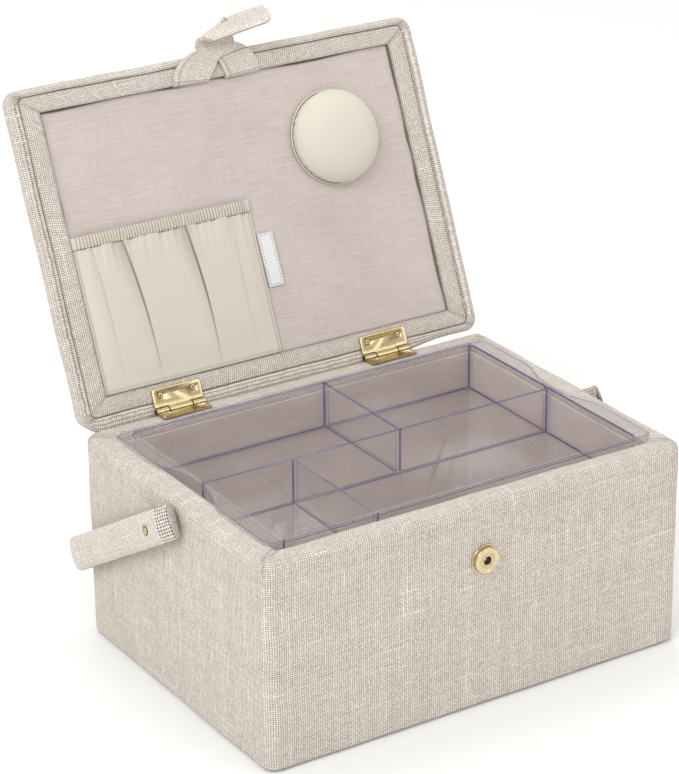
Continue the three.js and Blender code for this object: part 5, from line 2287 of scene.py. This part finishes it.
    def folded(self, points: Array, turn: Array) -> Array:
        """Points of the flat strap turned about the fold's line.

        With p a point, a the line's direction and t the angle, it is p cos t + (a cross p) sin t +
        a (a . p) (1 - cos t).

        Args:
            points: places from the fold's centre.
            turn: angle for each, in radians.

        Returns:
            Points in the lid's frame.
        """
        flat, out = math.radians(self.fold_in_plane), math.radians(self.fold_out_of_plane)
        axis = np.array([math.cos(out) * math.cos(flat), math.cos(out) * math.sin(flat), math.sin(out)])
        turn = turn[..., None]
        along = (points @ axis)[..., None] * axis
        moved = points * np.cos(turn) + np.cross(axis, points) * np.sin(turn) + along * (1 - np.cos(turn))
        return moved + np.array([PLAN.strap_x, self.fold_s, self.mid])

    def neck(self) -> None:
        """The neck: from under the legs, over the lid's edge, to the fold."""
        half = self.neck_width / 2
        share = np.linspace(-1.0, 1.0, 33)[None, :]
        up = np.linspace(0.0, 1.0, 16)[:, None]
        x = share * half * (1 - 0.02 * up) - self.taper * smooth(share) * up**2
        low = self.bend_s - self.fold_s - 2 * self.overlap
        y = low + (self.fold_line(x) - low) * up
        n = self.fullness * np.cos(share * np.pi / 2) - self.layer * (1 - smooth(up * 2.2)) + 0 * y
        points = self.strap_point(x + 0 * y, y, n)
        patch = Patch(points, np.stack([x + 0 * y, y], axis=-1)).moved(lid_place)
        piece = Piece("strap_neck_cloth", None, self.finishes.fine_linen, "linen", ["strap_neck"])
        neck = piece.of_patches([patch], facing=lid_normal())
        thickened(neck, self.thick, offset=0.0, soft=self.soft, rim=self.finishes.linen_edge)
        ends = [[0.0, self.bend_s + way * self.bend_half, self.mid] for way in (-1, 1)]
        ends = lid_place(np.array(ends)) * MM
        tuple(ends[0])
        tuple(ends[1])
        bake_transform(neck)

    def tab(self) -> None:
        """The tab: from the fold to its round end, slightly full."""
        half, corner = self.tab_width / 2, self.tab_corner
        share = np.linspace(-1.0, 1.0, 33)[None, :]
        up = np.linspace(0.0, 1.0, 44)[:, None]
        in_corner = np.maximum(np.abs(share) * half - half + corner, 0.0)
        reach = self.tab_length - corner + np.sqrt(np.maximum(corner**2 - in_corner**2, 0.0))
        x = share * (half + (self.neck_width - self.tab_width) / 2 * (1 - smooth(up * 3)))
        x = x - self.taper * smooth(share) * (1 - smooth(up * 2.5))
        start = self.fold_line(x)
        y = start + (reach - start) * up
        beyond = np.maximum(-x - self.flat_half, 0.0)
        curl = self.curl * (beyond / (half - self.flat_half)) ** 1.6 * smooth((y - start) / 8.0)
        n = self.fullness * np.cos(share * np.pi / 2) + curl
        points = self.strap_point(x + 0.35 * curl, y, n)
        patch = Patch(points, np.stack([x, y], axis=-1)).moved(lid_place)
        piece = Piece("strap_tab_cloth", None, self.finishes.fine_linen, "linen", ["strap_tab"])
        tab = piece.of_patches([patch], facing=-lid_normal())
        thickened(tab, self.thick, offset=0.0, soft=self.soft, rim=self.finishes.linen_edge)
        middle = np.zeros(2)
        ends = lid_place(self.strap_point(middle, np.array([self.fold_start, self.fold_stop]), middle)) * MM
        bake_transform(tab)

    def tab_place(self, points: Array) -> Array:
        """World place of points in the tab's own frame, whose y runs along the unfolded tab."""
        return lid_place(self.folded(points, np.array(math.radians(self.fold_angle))))


# Metal fittings


@dataclass
class SnapFastener(Assembly):
    """The snap: a gold cup on the front wall and its plug on the tab.

    Attributes:
        strap: the strap that carries the plug.
        drop: how far the cup is under the rim.
        dish: how deep the cup's face is dished.
        ring: radius of the raised ring round the hole.
        ring_round: radius of its section.
        lip: rounding of the flange's edge.
        lip_top: the same above.
        bevel: rounding of the cup's edge.
        bead: rounding of the stud's end.
        steps: how many columns a turned piece has.
    """

    strap: ClosureStrap
    drop: float = 32.0
    flange: float = 8.0
    flange_thick: float = 0.6
    cup: float = 7.25
    height: float = 3.2
    bore: float = 2.1
    bore_depth: float = 2.4
    shank: float = 1.4
    shank_reach: float = 8.6
    plug_radius: float = 7.0
    plug_thick: float = 0.8
    stud: float = 1.6
    stud_height: float = 1.9
    post: float = 1.1
    post_length: float = 1.1
    dish: float = 0.28
    ring: float = 2.9
    ring_round: float = 0.42
    lip: float = 0.15
    lip_top: float = 0.1
    bevel: float = 0.9
    bead: float = 0.55
    steps: int = 72

    def socket(self) -> None:
        """The cup: a thin flange, a bevelled edge, a dished face, and a raised ring round the hole."""
        face, low = self.height, self.height - self.dish
        bottom = face - self.bore_depth
        outline = joined(
            [[0.0, -self.shank_reach], [self.shank, -self.shank_reach], [self.shank, PLAN.seat]],
            arc(self.flange - self.lip, PLAN.seat + self.lip, self.lip, 270, 360, 3),
            arc(self.flange - self.lip, self.flange_thick - self.lip_top, self.lip_top, 0, 90, 3),
            [[self.cup + self.lip, self.flange_thick], [self.cup, self.flange_thick + 0.3]],
            [[self.cup, face - 1.0]],
            arc(self.cup - self.bevel, face - self.bevel, self.bevel, 10, 80, 6),
            [[self.cup - 1.15, face], [self.cup - 1.5, low], [self.ring + 0.6, low]],
            arc(self.ring, low + 0.02, self.ring_round, 20, 160, 6),
            [[self.bore + 0.12, low], [self.bore, low - 0.12], [self.bore, bottom], [0.0, bottom]],
        )
        place = Matrix.Translation((PLAN.strap_x, -PLAN.half_depth, PLAN.height - self.drop))
        patch = turned(outline, self.steps).moved(matrix_place(place @ Matrix.Rotation(math.pi / 2, 4, "X")))
        # Painted shade in rings: in the hole's mouth, beside the raised ring, and at the foot of the cup.
        rings = [(self.bore, 0.35, 0.9), (self.ring + 0.75, 0.25, 0.45), (self.cup, 0.3, 0.35)]
        patch.crease = self.worn(outline, rings)
        piece = Piece("snap_cup", "box", self.finishes.snap, "snap_metal", ["snap_socket"], crisp=35.0)
        piece.of_patches([patch])

    def worn(self, outline: Array, rings: Sequence[tuple[float, float, float]]) -> Array:
        """Painted shade in rings on a turned piece: for each ring its radius, its width and its strength."""
        dark = sum(depth * ridge(outline[:, 0] - radius, width) for radius, width, depth in rings)
        return np.repeat(np.clip(dark, 0.0, 1.0)[:, None], self.steps + 1, axis=1)

    def plug(self) -> None:
        """The plug: a post through the cloth, a round-edged disc, and a stud with a bead at its end."""
        base = PLAN.seat
        top = base + self.plug_thick
        end = top + self.stud_height
        outline = joined(
            [[0.0, -self.post_length], [self.post, -self.post_length], [self.post, base]],
            arc(self.plug_radius - 0.3, base + 0.3, 0.3, 270, 360, 4),
            arc(self.plug_radius - 0.4, top - 0.4, 0.4, 0, 90, 5),
            [[self.plug_radius - 1.0, top - 0.12], [self.stud + 1.0, top - 0.12], [self.stud + 0.3, top]],
            [[self.stud - 0.15, top + 0.3], [self.stud - 0.15, end - 2 * self.bead]],
            arc(self.stud - self.bead, end - self.bead, self.bead, -40, 90, 6),
            [[0.0, end]],
        )
        lift = np.array([0.0, self.strap.snap_at, 1.0])
        patch = turned(outline, self.steps).moved(lambda points: self.strap.tab_place(points + lift))
        piece = Piece("snap_button", "tab", self.finishes.snap, "snap_metal", ["snap_plug"], crisp=35.0)
        piece.of_patches([patch])

    def build(self) -> None:
        """Builds both halves of the snap."""
        self.socket()
        self.plug()


@dataclass
class Hinges(Assembly):
    """Two brass hinges: leaves with barrels, pins and cross-headed screws.

    Attributes:
        places: x of each hinge's middle.
        spread: how far each screw is from it.
        lower_screws: how far the screws in the case are from the hinges' line.
        upper_screws: the same in the lid.
        rings: radii of the head's rings, as shares of its own.
        dome: how far the head's rim is under its middle.
        soft: width of the slope round the cross.
        thread_rows: rows of the shank in each millimetre.
    """

    places: tuple[float, float] = (-69.0, 63.0)
    spread: float = 10.0
    lower_screws: float = 5.4
    upper_screws: float = 8.4
    leaf: float = 0.8
    head: float = 1.5
    head_thick: float = 0.4
    shank: float = 0.75
    box_screw: float = 9.0
    lid_screw: float = 5.4
    edge: float = 0.26
    sharp: float = 50.0
    round_hole: float = 2.0
    near_pin: float = 0.2
    tarnish: float = 0.7
    tarnish_fade: float = 0.9
    recess_width: float = 0.28
    recess_length: float = 0.85
    recess_depth: float = 0.3
    thread: float = 0.12
    thread_pitch: float = 0.9
    thread_rows: int = 6
    soft: float = 0.1
    dome: float = 0.18
    rings: tuple[float, ...] = (0.0, 0.12, 0.2, 0.3, 0.42, 0.54, 0.64, 0.75, 0.87, 0.96, 1.0)

    def screw(self, length: float) -> Patch:
        """A screw about z: a domed head with a cross cut in it, and a shank whose radius rides a helix.

        Args:
            length: from the head's top to the point.

        Returns:
            The patch.
        """
        turn = np.linspace(0.0, 2 * np.pi, 41)
        flat = np.zeros((1, len(turn)))
        r = self.head * np.array(self.rings)[:, None]
        x, y = np.abs(r * np.cos(turn)), np.abs(r * np.sin(turn))
        level, upright = (
            smooth((self.recess_width - a) / self.soft) * smooth((self.recess_length - b) / self.soft)
            for a, b in ((y, x), (x, y))
        )
        arms = np.maximum(level, upright)
        top = -self.dome * (r / self.head) ** 2 - self.recess_depth * arms
        rows = int(round(length * self.thread_rows))
        z = np.linspace(-self.head_thick, self.shank - length, rows)[:, None]
        helix = self.shank - self.thread + self.thread * np.cos(2 * np.pi * z / self.thread_pitch - turn)
        radius = np.concatenate([r + flat, self.head + flat, helix, flat])
        height = np.concatenate([top, flat - self.head_thick, z + flat, flat - length])
        points = np.stack([radius * np.cos(turn), radius * np.sin(turn), height], axis=-1)
        # Painted shade in the cross and in a ring round the head's rim; the hidden shank is dark all over.
        rim = smooth((r / self.head - 0.8) / 0.2) + 0 * turn
        crease = np.concatenate([np.clip(arms + rim, 0.0, 1.0), np.ones((2 + len(z), len(turn)))])
        return Patch(points, crease=crease)

    def hole(self, x: float, upper: bool) -> Array:
        """Middle of a screw's hole.

        Args:
            x: where it is across.
            upper: whether it is in the leaf on the lid.

        Returns:
            Its x, y, z in a lower leaf, or its x, s, n in an upper one.
        """
        face = PLAN.seat + self.leaf
        if upper:
            return np.array([x, PLAN.hinge_inset + self.upper_screws, face])
        return np.array([x, PLAN.half_depth - PLAN.hinge_inset - self.lower_screws, PLAN.height + face])

    def plate(self, name: str, body: str, x: float, upper: bool) -> None:
        """A leaf with its knuckles: a copy of the solid with rounded edges, painted shade along them in a
        darker brass, and painted shade by the barrel.

        The painted shade is strength * exp(-(d - radius) / fade), d being the distance from the pin, and none
        on the barrel's crown, which looks forwards and up.

        Args:
            name: the solid.
            body: the body that it rides on.
            x: middle of the hinge.
            upper: whether it is the leaf on the lid.
        """
        mesh = solid_copy(self.nodes[name], f"{name}_plate")
        piece = Piece(f"{name}_plate", body, self.finishes.brass, "gilt_metal", [name], crisp=40.0)
        plate = piece.of_mesh(mesh)
        mesh.materials.append(self.finishes.brass_edge)
        pin = np.array([PLAN.half_depth - PLAN.hinge_inset, PLAN.height + PLAN.hinge_rise])
        off = corner_points(mesh)[:, 1:] - pin
        away = np.maximum(np.linalg.norm(off, axis=1), self.near_pin)
        crown = smooth((off @ np.array([-1.0, 1.0]) / away / math.sqrt(2) - 0.3) / 0.4)
        fade = np.exp(-np.maximum(away - PLAN.hinge_rise, 0.0) / self.tarnish_fade)
        # Painted shade by the barrel, none on its crown.
        dark = self.tarnish * fade * (1 - crown)
        mesh.attributes.new("crease", "FLOAT", "POINT").data.foreach_set("value", dark.astype(np.float32))
        weights = edge_weights(mesh, self.sharp)
        middles = corner_points(mesh)[read(mesh.edges, "vertices", 2, np.int32)].mean(axis=1)
        for screw_x in (x - self.spread, x + self.spread):
            hole = self.hole(screw_x, upper)
            hole = lid_place(hole) if upper else hole
            weights[np.linalg.norm(middles - hole, axis=1) < self.round_hole] = 0.0
        bevelled(plate, self.edge, weights, material=1)

    def fastening(self, name: str, body: str, length: float, place: Callable[[Array], Array]) -> None:
        """Builds one screw in its place."""
        patch = self.screw(length).moved(place)
        piece = Piece(f"{name}_cross_head", body, self.finishes.brass, "gilt_metal", [name], crisp=35.0)
        piece.of_patches([patch])

    def build(self) -> None:
        """Builds the leaves from copies of their solids, dresses the pins, and drives the screws."""
        for side, x in zip(Side, self.places):
            for part, body in (("lower", "box"), ("upper", "lid")):
                self.plate(f"hinge_{side.word}_{part}_leaf", body, x, part == "upper")
            # The pins take the dark brass, which paints shade into the gaps between the knuckles.
            self.keep(f"hinge_{side.word}_pin", self.finishes.dull)
            for i, screw_x in enumerate((x - self.spread, x + self.spread), start=1):
                low, high = self.hole(screw_x, upper=False), self.hole(screw_x, upper=True)
                lower, upper = (f"hinge_{side.word}_{part}_screw_{i}" for part in ("lower", "upper"))
                self.fastening(lower, "box", self.box_screw, lambda p, at=low: p + at)
                self.fastening(upper, "lid", self.lid_screw, lambda p, at=high: lid_place(p + at))


# Handle


@dataclass
class CarryHandle(Assembly):
    """The handle: a linen sleeve over a stiff strip, bent into a U, and the rivets that it turns on.

    Attributes:
        pivot_y: y of the rivets.
        drop: how far they are under the rim.
        droop: degrees by which the arms hang down to the back.
        arm_offset: how far out from the wall the arms' middle line runs.
        left_tip: the same at the left tip.
        right_tip: the same at the right tip.
        room: how far behind the case the back run's middle line is.
        rivet_rim: rounding of the head's rim.
        rivet_seat: how high its dome starts.
        rivet_step: how far in from the rim it does.
    """

    pivot_y: float = 8.9
    drop: float = 20.2
    droop: float = 30.5
    band_width: float = 18.4
    band_thick: float = 4.4
    band_round: float = 1.9
    arm_offset: float = 7.0
    left_tip: float = 4.6
    right_tip: float = 6.4
    tip_reach: float = 25.0
    tip_ease: float = 20.0
    room: float = 9.5
    bend: float = 14.0
    rivet_head: float = 2.8
    rivet_dome: float = 1.5
    rivet_ring: float = 0.9
    rivet_shank: float = 1.5
    rivet_rim: float = 0.25
    rivet_seat: float = 0.35
    rivet_step: float = 0.85
    end_wall: float = 14.7
    end_round: float = 2.2
    open_weave: float = 14.0
    tip_shade: float = 0.6
    tip_shade_reach: float = 3.0
    middle_full: float = 1.12
    edge_thin: float = 0.75

    @property
    def reach(self) -> float:
        """Length of the arms from the rivets to the middle of the back run."""
        return (PLAN.half_depth + self.room - self.pivot_y) / math.cos(math.radians(self.droop))

    def place(self, points: Array) -> Array:
        """World place of points in the handle's own frame, which hangs down by the droop from the rivets.

        Args:
            points: any shape ending in x across, the place along the arms, and the place up.

        Returns:
            The same shape ending in x, y, z.
        """
        turn = math.radians(self.droop)
        x, along, up = (points[..., k] for k in range(3))
        y = self.pivot_y + along * math.cos(turn) + up * math.sin(turn)
        z = PLAN.height - self.drop - along * math.sin(turn) + up * math.cos(turn)
        return np.stack([x, y, z], axis=-1)

    def path(self) -> Array:
        """Middle line of the band: eased tips, straight arms, and a quarter circle at each back corner.

        Returns:
            Pairs of x and place along the arms.
        """
        arm = PLAN.half_width + self.arm_offset

        def half(tip_offset: float) -> Array:
            """One side, from the tip to the start of the back run.

            Args:
                tip_offset: how far out the tip is from the wall.

            Returns:
                Pairs of x and place along the arms.
            """
            share = np.linspace(0.0, 1.0, 24)
            tip = PLAN.half_width + tip_offset
            x = tip + (arm - tip) * smooth(share)
            front = np.stack([-x, -self.tip_reach + self.tip_ease * share], axis=1)
            return joined(front, arc(self.bend - arm, self.reach - self.bend, self.bend, 180, 90, 12))

        right = half(self.right_tip)[::-1] * np.array([-1.0, 1.0])
        whole, _ = refined([joined(half(self.left_tip), right)] * 2, 4.0)
        return whole

    def sleeve(self) -> None:
        """The sleeve: a rounded flat section carried along the path, pinched shut at both tips."""
        path = self.path()
        far = run(path)
        from_end = np.minimum(far, far[-1] - far)
        way = np.gradient(path, axis=0)
        way /= np.linalg.norm(way, axis=1, keepdims=True)
        out = np.stack([way[:, 1], -way[:, 0]], axis=1)
        thick, width, edge = self.band_thick / 2, self.band_width / 2, self.band_round
        section = joined(
            arc(thick - edge, width - edge, edge, 0, 90, 5),
            arc(edge - thick, width - edge, edge, 90, 180, 5),
            arc(edge - thick, edge - width, edge, 180, 270, 5),
            arc(thick - edge, edge - width, edge, 270, 360, 5),
        )
        section = joined(section, section[:1])
        (section,) = refined([section], 2.2)
        fullness = self.middle_full - self.edge_thin * np.abs(section[:, 1] / width) ** 3
        cap = np.sqrt(np.clip(1 - (1 - np.clip(from_end / self.end_round, 0, 1)) ** 2, 0.0, 1.0))[:, None]
        off = section[:, 0] * fullness * (0.18 + 0.82 * cap) * (cap > 0)
        up = section[:, 1] * (1 - 0.06 * (1 - cap)) * (cap > 0)
        wave = 0.18 * np.sin(far / 7.0 + 0.5)[:, None] * smooth(from_end / 12)[:, None]
        x = path[:, :1] + out[:, :1] * (off + wave)
        along = path[:, 1:] + out[:, 1:] * (off + wave)
        points = np.stack([x, along, up], axis=-1)
        around = run(section)
        cloth = np.stack(np.broadcast_arrays(around[None, :], far[:, None]), axis=-1)
        dim = self.tip_shade * (1 - smooth(from_end / self.tip_shade_reach))
        patch = Patch(points, cloth, np.repeat(dim[:, None], len(section), axis=1)).moved(self.place)
        piece = Piece("handle_sleeve", "handle", self.finishes.fine_linen, "linen", ["handle_cover"])
        sleeve = piece.of_patches([patch])
        sleeve.data.materials.append(self.finishes.open_linen)
        firsts = read(sleeve.data.polygons, "loop_start", kind=np.int32)
        place = read(sleeve.data.uv_layers["cloth"].data, "uv", 2)[firsts, 1] / MM
        at_tip = np.minimum(place, far[-1] - place) < self.open_weave
        sleeve.data.polygons.foreach_set("material_index", at_tip.astype(np.int32))
        self.keep("handle_core", self.finishes.strip)

    def rivet(self, side: Side) -> None:
        """A rivet: a shank through the wall and a domed head with a thin rim.

        Args:
            side: which end of the box.
        """
        head = self.arm_offset + self.band_thick / 2 + PLAN.seat
        rim, seat = self.rivet_rim, head + self.rivet_seat
        dome = self.rivet_head - self.rivet_step
        outline = joined(
            [[0.0, -self.end_wall], [self.rivet_shank, -self.end_wall], [self.rivet_shank, head]],
            arc(self.rivet_head - rim, head + rim, rim, 270, 400, 5),
            [[self.rivet_head - 0.7, head + 0.42]],
            arc(0.0, seat, dome, 8, 90, 8),
        )
        squat = (self.rivet_dome - self.rivet_seat) / dome
        high = outline[:, 1] > head + 0.42
        outline[:, 1] = np.where(high, seat + (outline[:, 1] - seat) * squat, outline[:, 1])
        matrix = Matrix.Translation((side.value * PLAN.half_width, self.pivot_y, PLAN.height - self.drop))
        matrix = matrix @ Matrix.Rotation(side.value * math.pi / 2, 4, "Y")
        name = f"handle_rivet_{side.word}"
        patch = turned(outline, 40).moved(matrix_place(matrix))
        # Painted shade: the head a little darker all over, and much darker in a ring at its rim.
        dark = smooth((outline[:, 0] - self.rivet_head + self.rivet_ring) / self.rivet_ring)
        patch.crease = np.repeat((0.25 + 0.75 * dark)[:, None], 41, axis=1)
        piece = Piece(f"{name}_dome", "box", self.finishes.brass, "gilt_metal", [name], crisp=35.0)
        piece.of_patches([patch])

    def build(self) -> None:
        """Builds the sleeve and the rivets."""
        self.sleeve()
        for side in Side:
            self.rivet(side)


# Studio


@dataclass
class Studio:
    """A pale floor, soft light, and a camera where the photograph was taken from.

    Attributes:
        eye: where the camera is, in millimetres.
        azimuth: degrees that it looks to the left of straight ahead, negative to the right.
        elevation: degrees that it looks down.
        roll: degrees that it leans.
        lens: focal length, in millimetres.
        film: size of the film along the picture's long side.
        floor_half: half of the floor's side, in metres.
        ambient: strength of the light from all round.
        lamps: name, place in metres, watts, side in metres and colour of each soft box.
        aim: where the soft boxes point, in metres.
    """

    eye: tuple[float, float, float] = (-766.009, -1169.921, 756.522)
    azimuth: float = -32.3242
    elevation: float = 23.6028
    roll: float = -0.5712
    lens: float = 136.75
    film: float = 36.0
    floor_half: float = 4.0
    ambient: float = 0.72
    aim: tuple[float, float, float] = (0.0, 0.03, 0.1)
    lamps: tuple[tuple[str, Numbers, float, float, Numbers], ...] = (
        ("key", (-1.6, -0.7, 1.7), 24.0, 1.4, (0.96, 1.0, 1.0)),
        ("fill", (1.2, -2.0, 1.2), 10.0, 1.6, (1.0, 0.97, 0.95)),
        ("top", (0.2, 0.9, 2.2), 14.0, 1.2, (1.0, 0.99, 0.97)),
    )

    def camera(self) -> None:
        """Makes the camera: its axes come from the azimuth, the elevation and then the roll."""
        az, el, roll = (math.radians(v) for v in (self.azimuth, self.elevation, self.roll))
        back = Vector((math.sin(az) * math.cos(el), -math.cos(az) * math.cos(el), math.sin(el)))
        right = Vector((math.cos(az), math.sin(az), 0.0))
        up = back.cross(right)
        across = right * math.cos(roll) + up * math.sin(roll)
        upright = up * math.cos(roll) - right * math.sin(roll)
        data = bpy.data.cameras.new("camera")
        data.lens = self.lens
        data.sensor_width = self.film
        data.sensor_fit = "AUTO"
        data.clip_end = 20.0
        camera = bpy.data.objects.new("camera", data)
        turn = Matrix((across, upright, back)).transposed().to_4x4()
        camera.matrix_world = Matrix.Translation(Vector(self.eye) * MM) @ turn
        bpy.context.scene.collection.objects.link(camera)
        bpy.context.scene.camera = camera

    def lamp(self, name: str, place: Numbers, power: float, size: float, tint: Numbers) -> None:
        """A square soft box that faces the middle of the object.

        Args:
            name: name of the light.
            place: where it stands, in metres.
            power: watts.
            size: length of its side, in metres.
            tint: colour of the light.
        """
        data = bpy.data.lights.new(name, "AREA")
        data.color = tint
        data.energy = power
        data.size = size
        lamp = bpy.data.objects.new(name, data)
        way = Vector(self.aim) - Vector(place)
        lamp.matrix_world = Matrix.Translation(place) @ way.to_track_quat("-Z", "Y").to_matrix().to_4x4()
        bpy.context.scene.collection.objects.link(lamp)

    def floor(self) -> None:
        """A large pale floor, which isn't part of the object."""
        n = Nodes("studio floor")
        finish = n.finish(Base_Color=(0.93, 0.93, 0.93, 1.0), Roughness=0.9, Specular_IOR_Level=0.1)
        mesh = bpy.data.meshes.new("studio_floor")
        half = self.floor_half
        corners = [(-half, -half, 0), (half, -half, 0), (half, half, 0), (-half, half, 0)]
        mesh.from_pydata(corners, [], [(0, 1, 2, 3)])
        mesh.materials.append(finish)
        floor = bpy.data.objects.new("studio_floor", mesh)
        bpy.context.scene.collection.objects.link(floor)

    def build(self) -> None:
        """Sets up the camera, the light and the floor."""
        self.camera()
        scene = bpy.context.scene
        world = bpy.data.worlds.new("studio")
        world.use_nodes = True
        sky = world.node_tree.nodes["Background"]
        sky.inputs["Color"].default_value = (1.0, 0.995, 0.985, 1.0)
        sky.inputs["Strength"].default_value = self.ambient
        scene.world = world
        scene.view_settings.view_transform = "Standard"
        scene.cycles.transparent_max_bounces = 32
        for lamp in self.lamps:
            self.lamp(*lamp)
        self.floor()


def main() -> None:
    """Builds the dressed sewing box on its frame, one sub-assembly after another."""
    logging.basicConfig(level=logging.INFO, format="%(message)s")
    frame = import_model()
    nodes = frame["nodes"]
    finishes = Finishes()
    Studio().build()
    strap = ClosureStrap(finishes, nodes)
    assemblies = [
        BoxBody(finishes, nodes),
        Tray(finishes, nodes),
        Lid(finishes, nodes),
        Pocket(finishes, nodes),
        LabelTag(finishes, nodes),
        Pincushion(finishes, nodes),
        strap,
        SnapFastener(finishes, nodes, strap),
        Hinges(finishes, nodes),
        CarryHandle(finishes, nodes),
    ]
    for assembly in assemblies:
        assembly.build()
        LOG.info("%s is built", type(assembly).__name__)


if __name__ == "__main__":
    main()
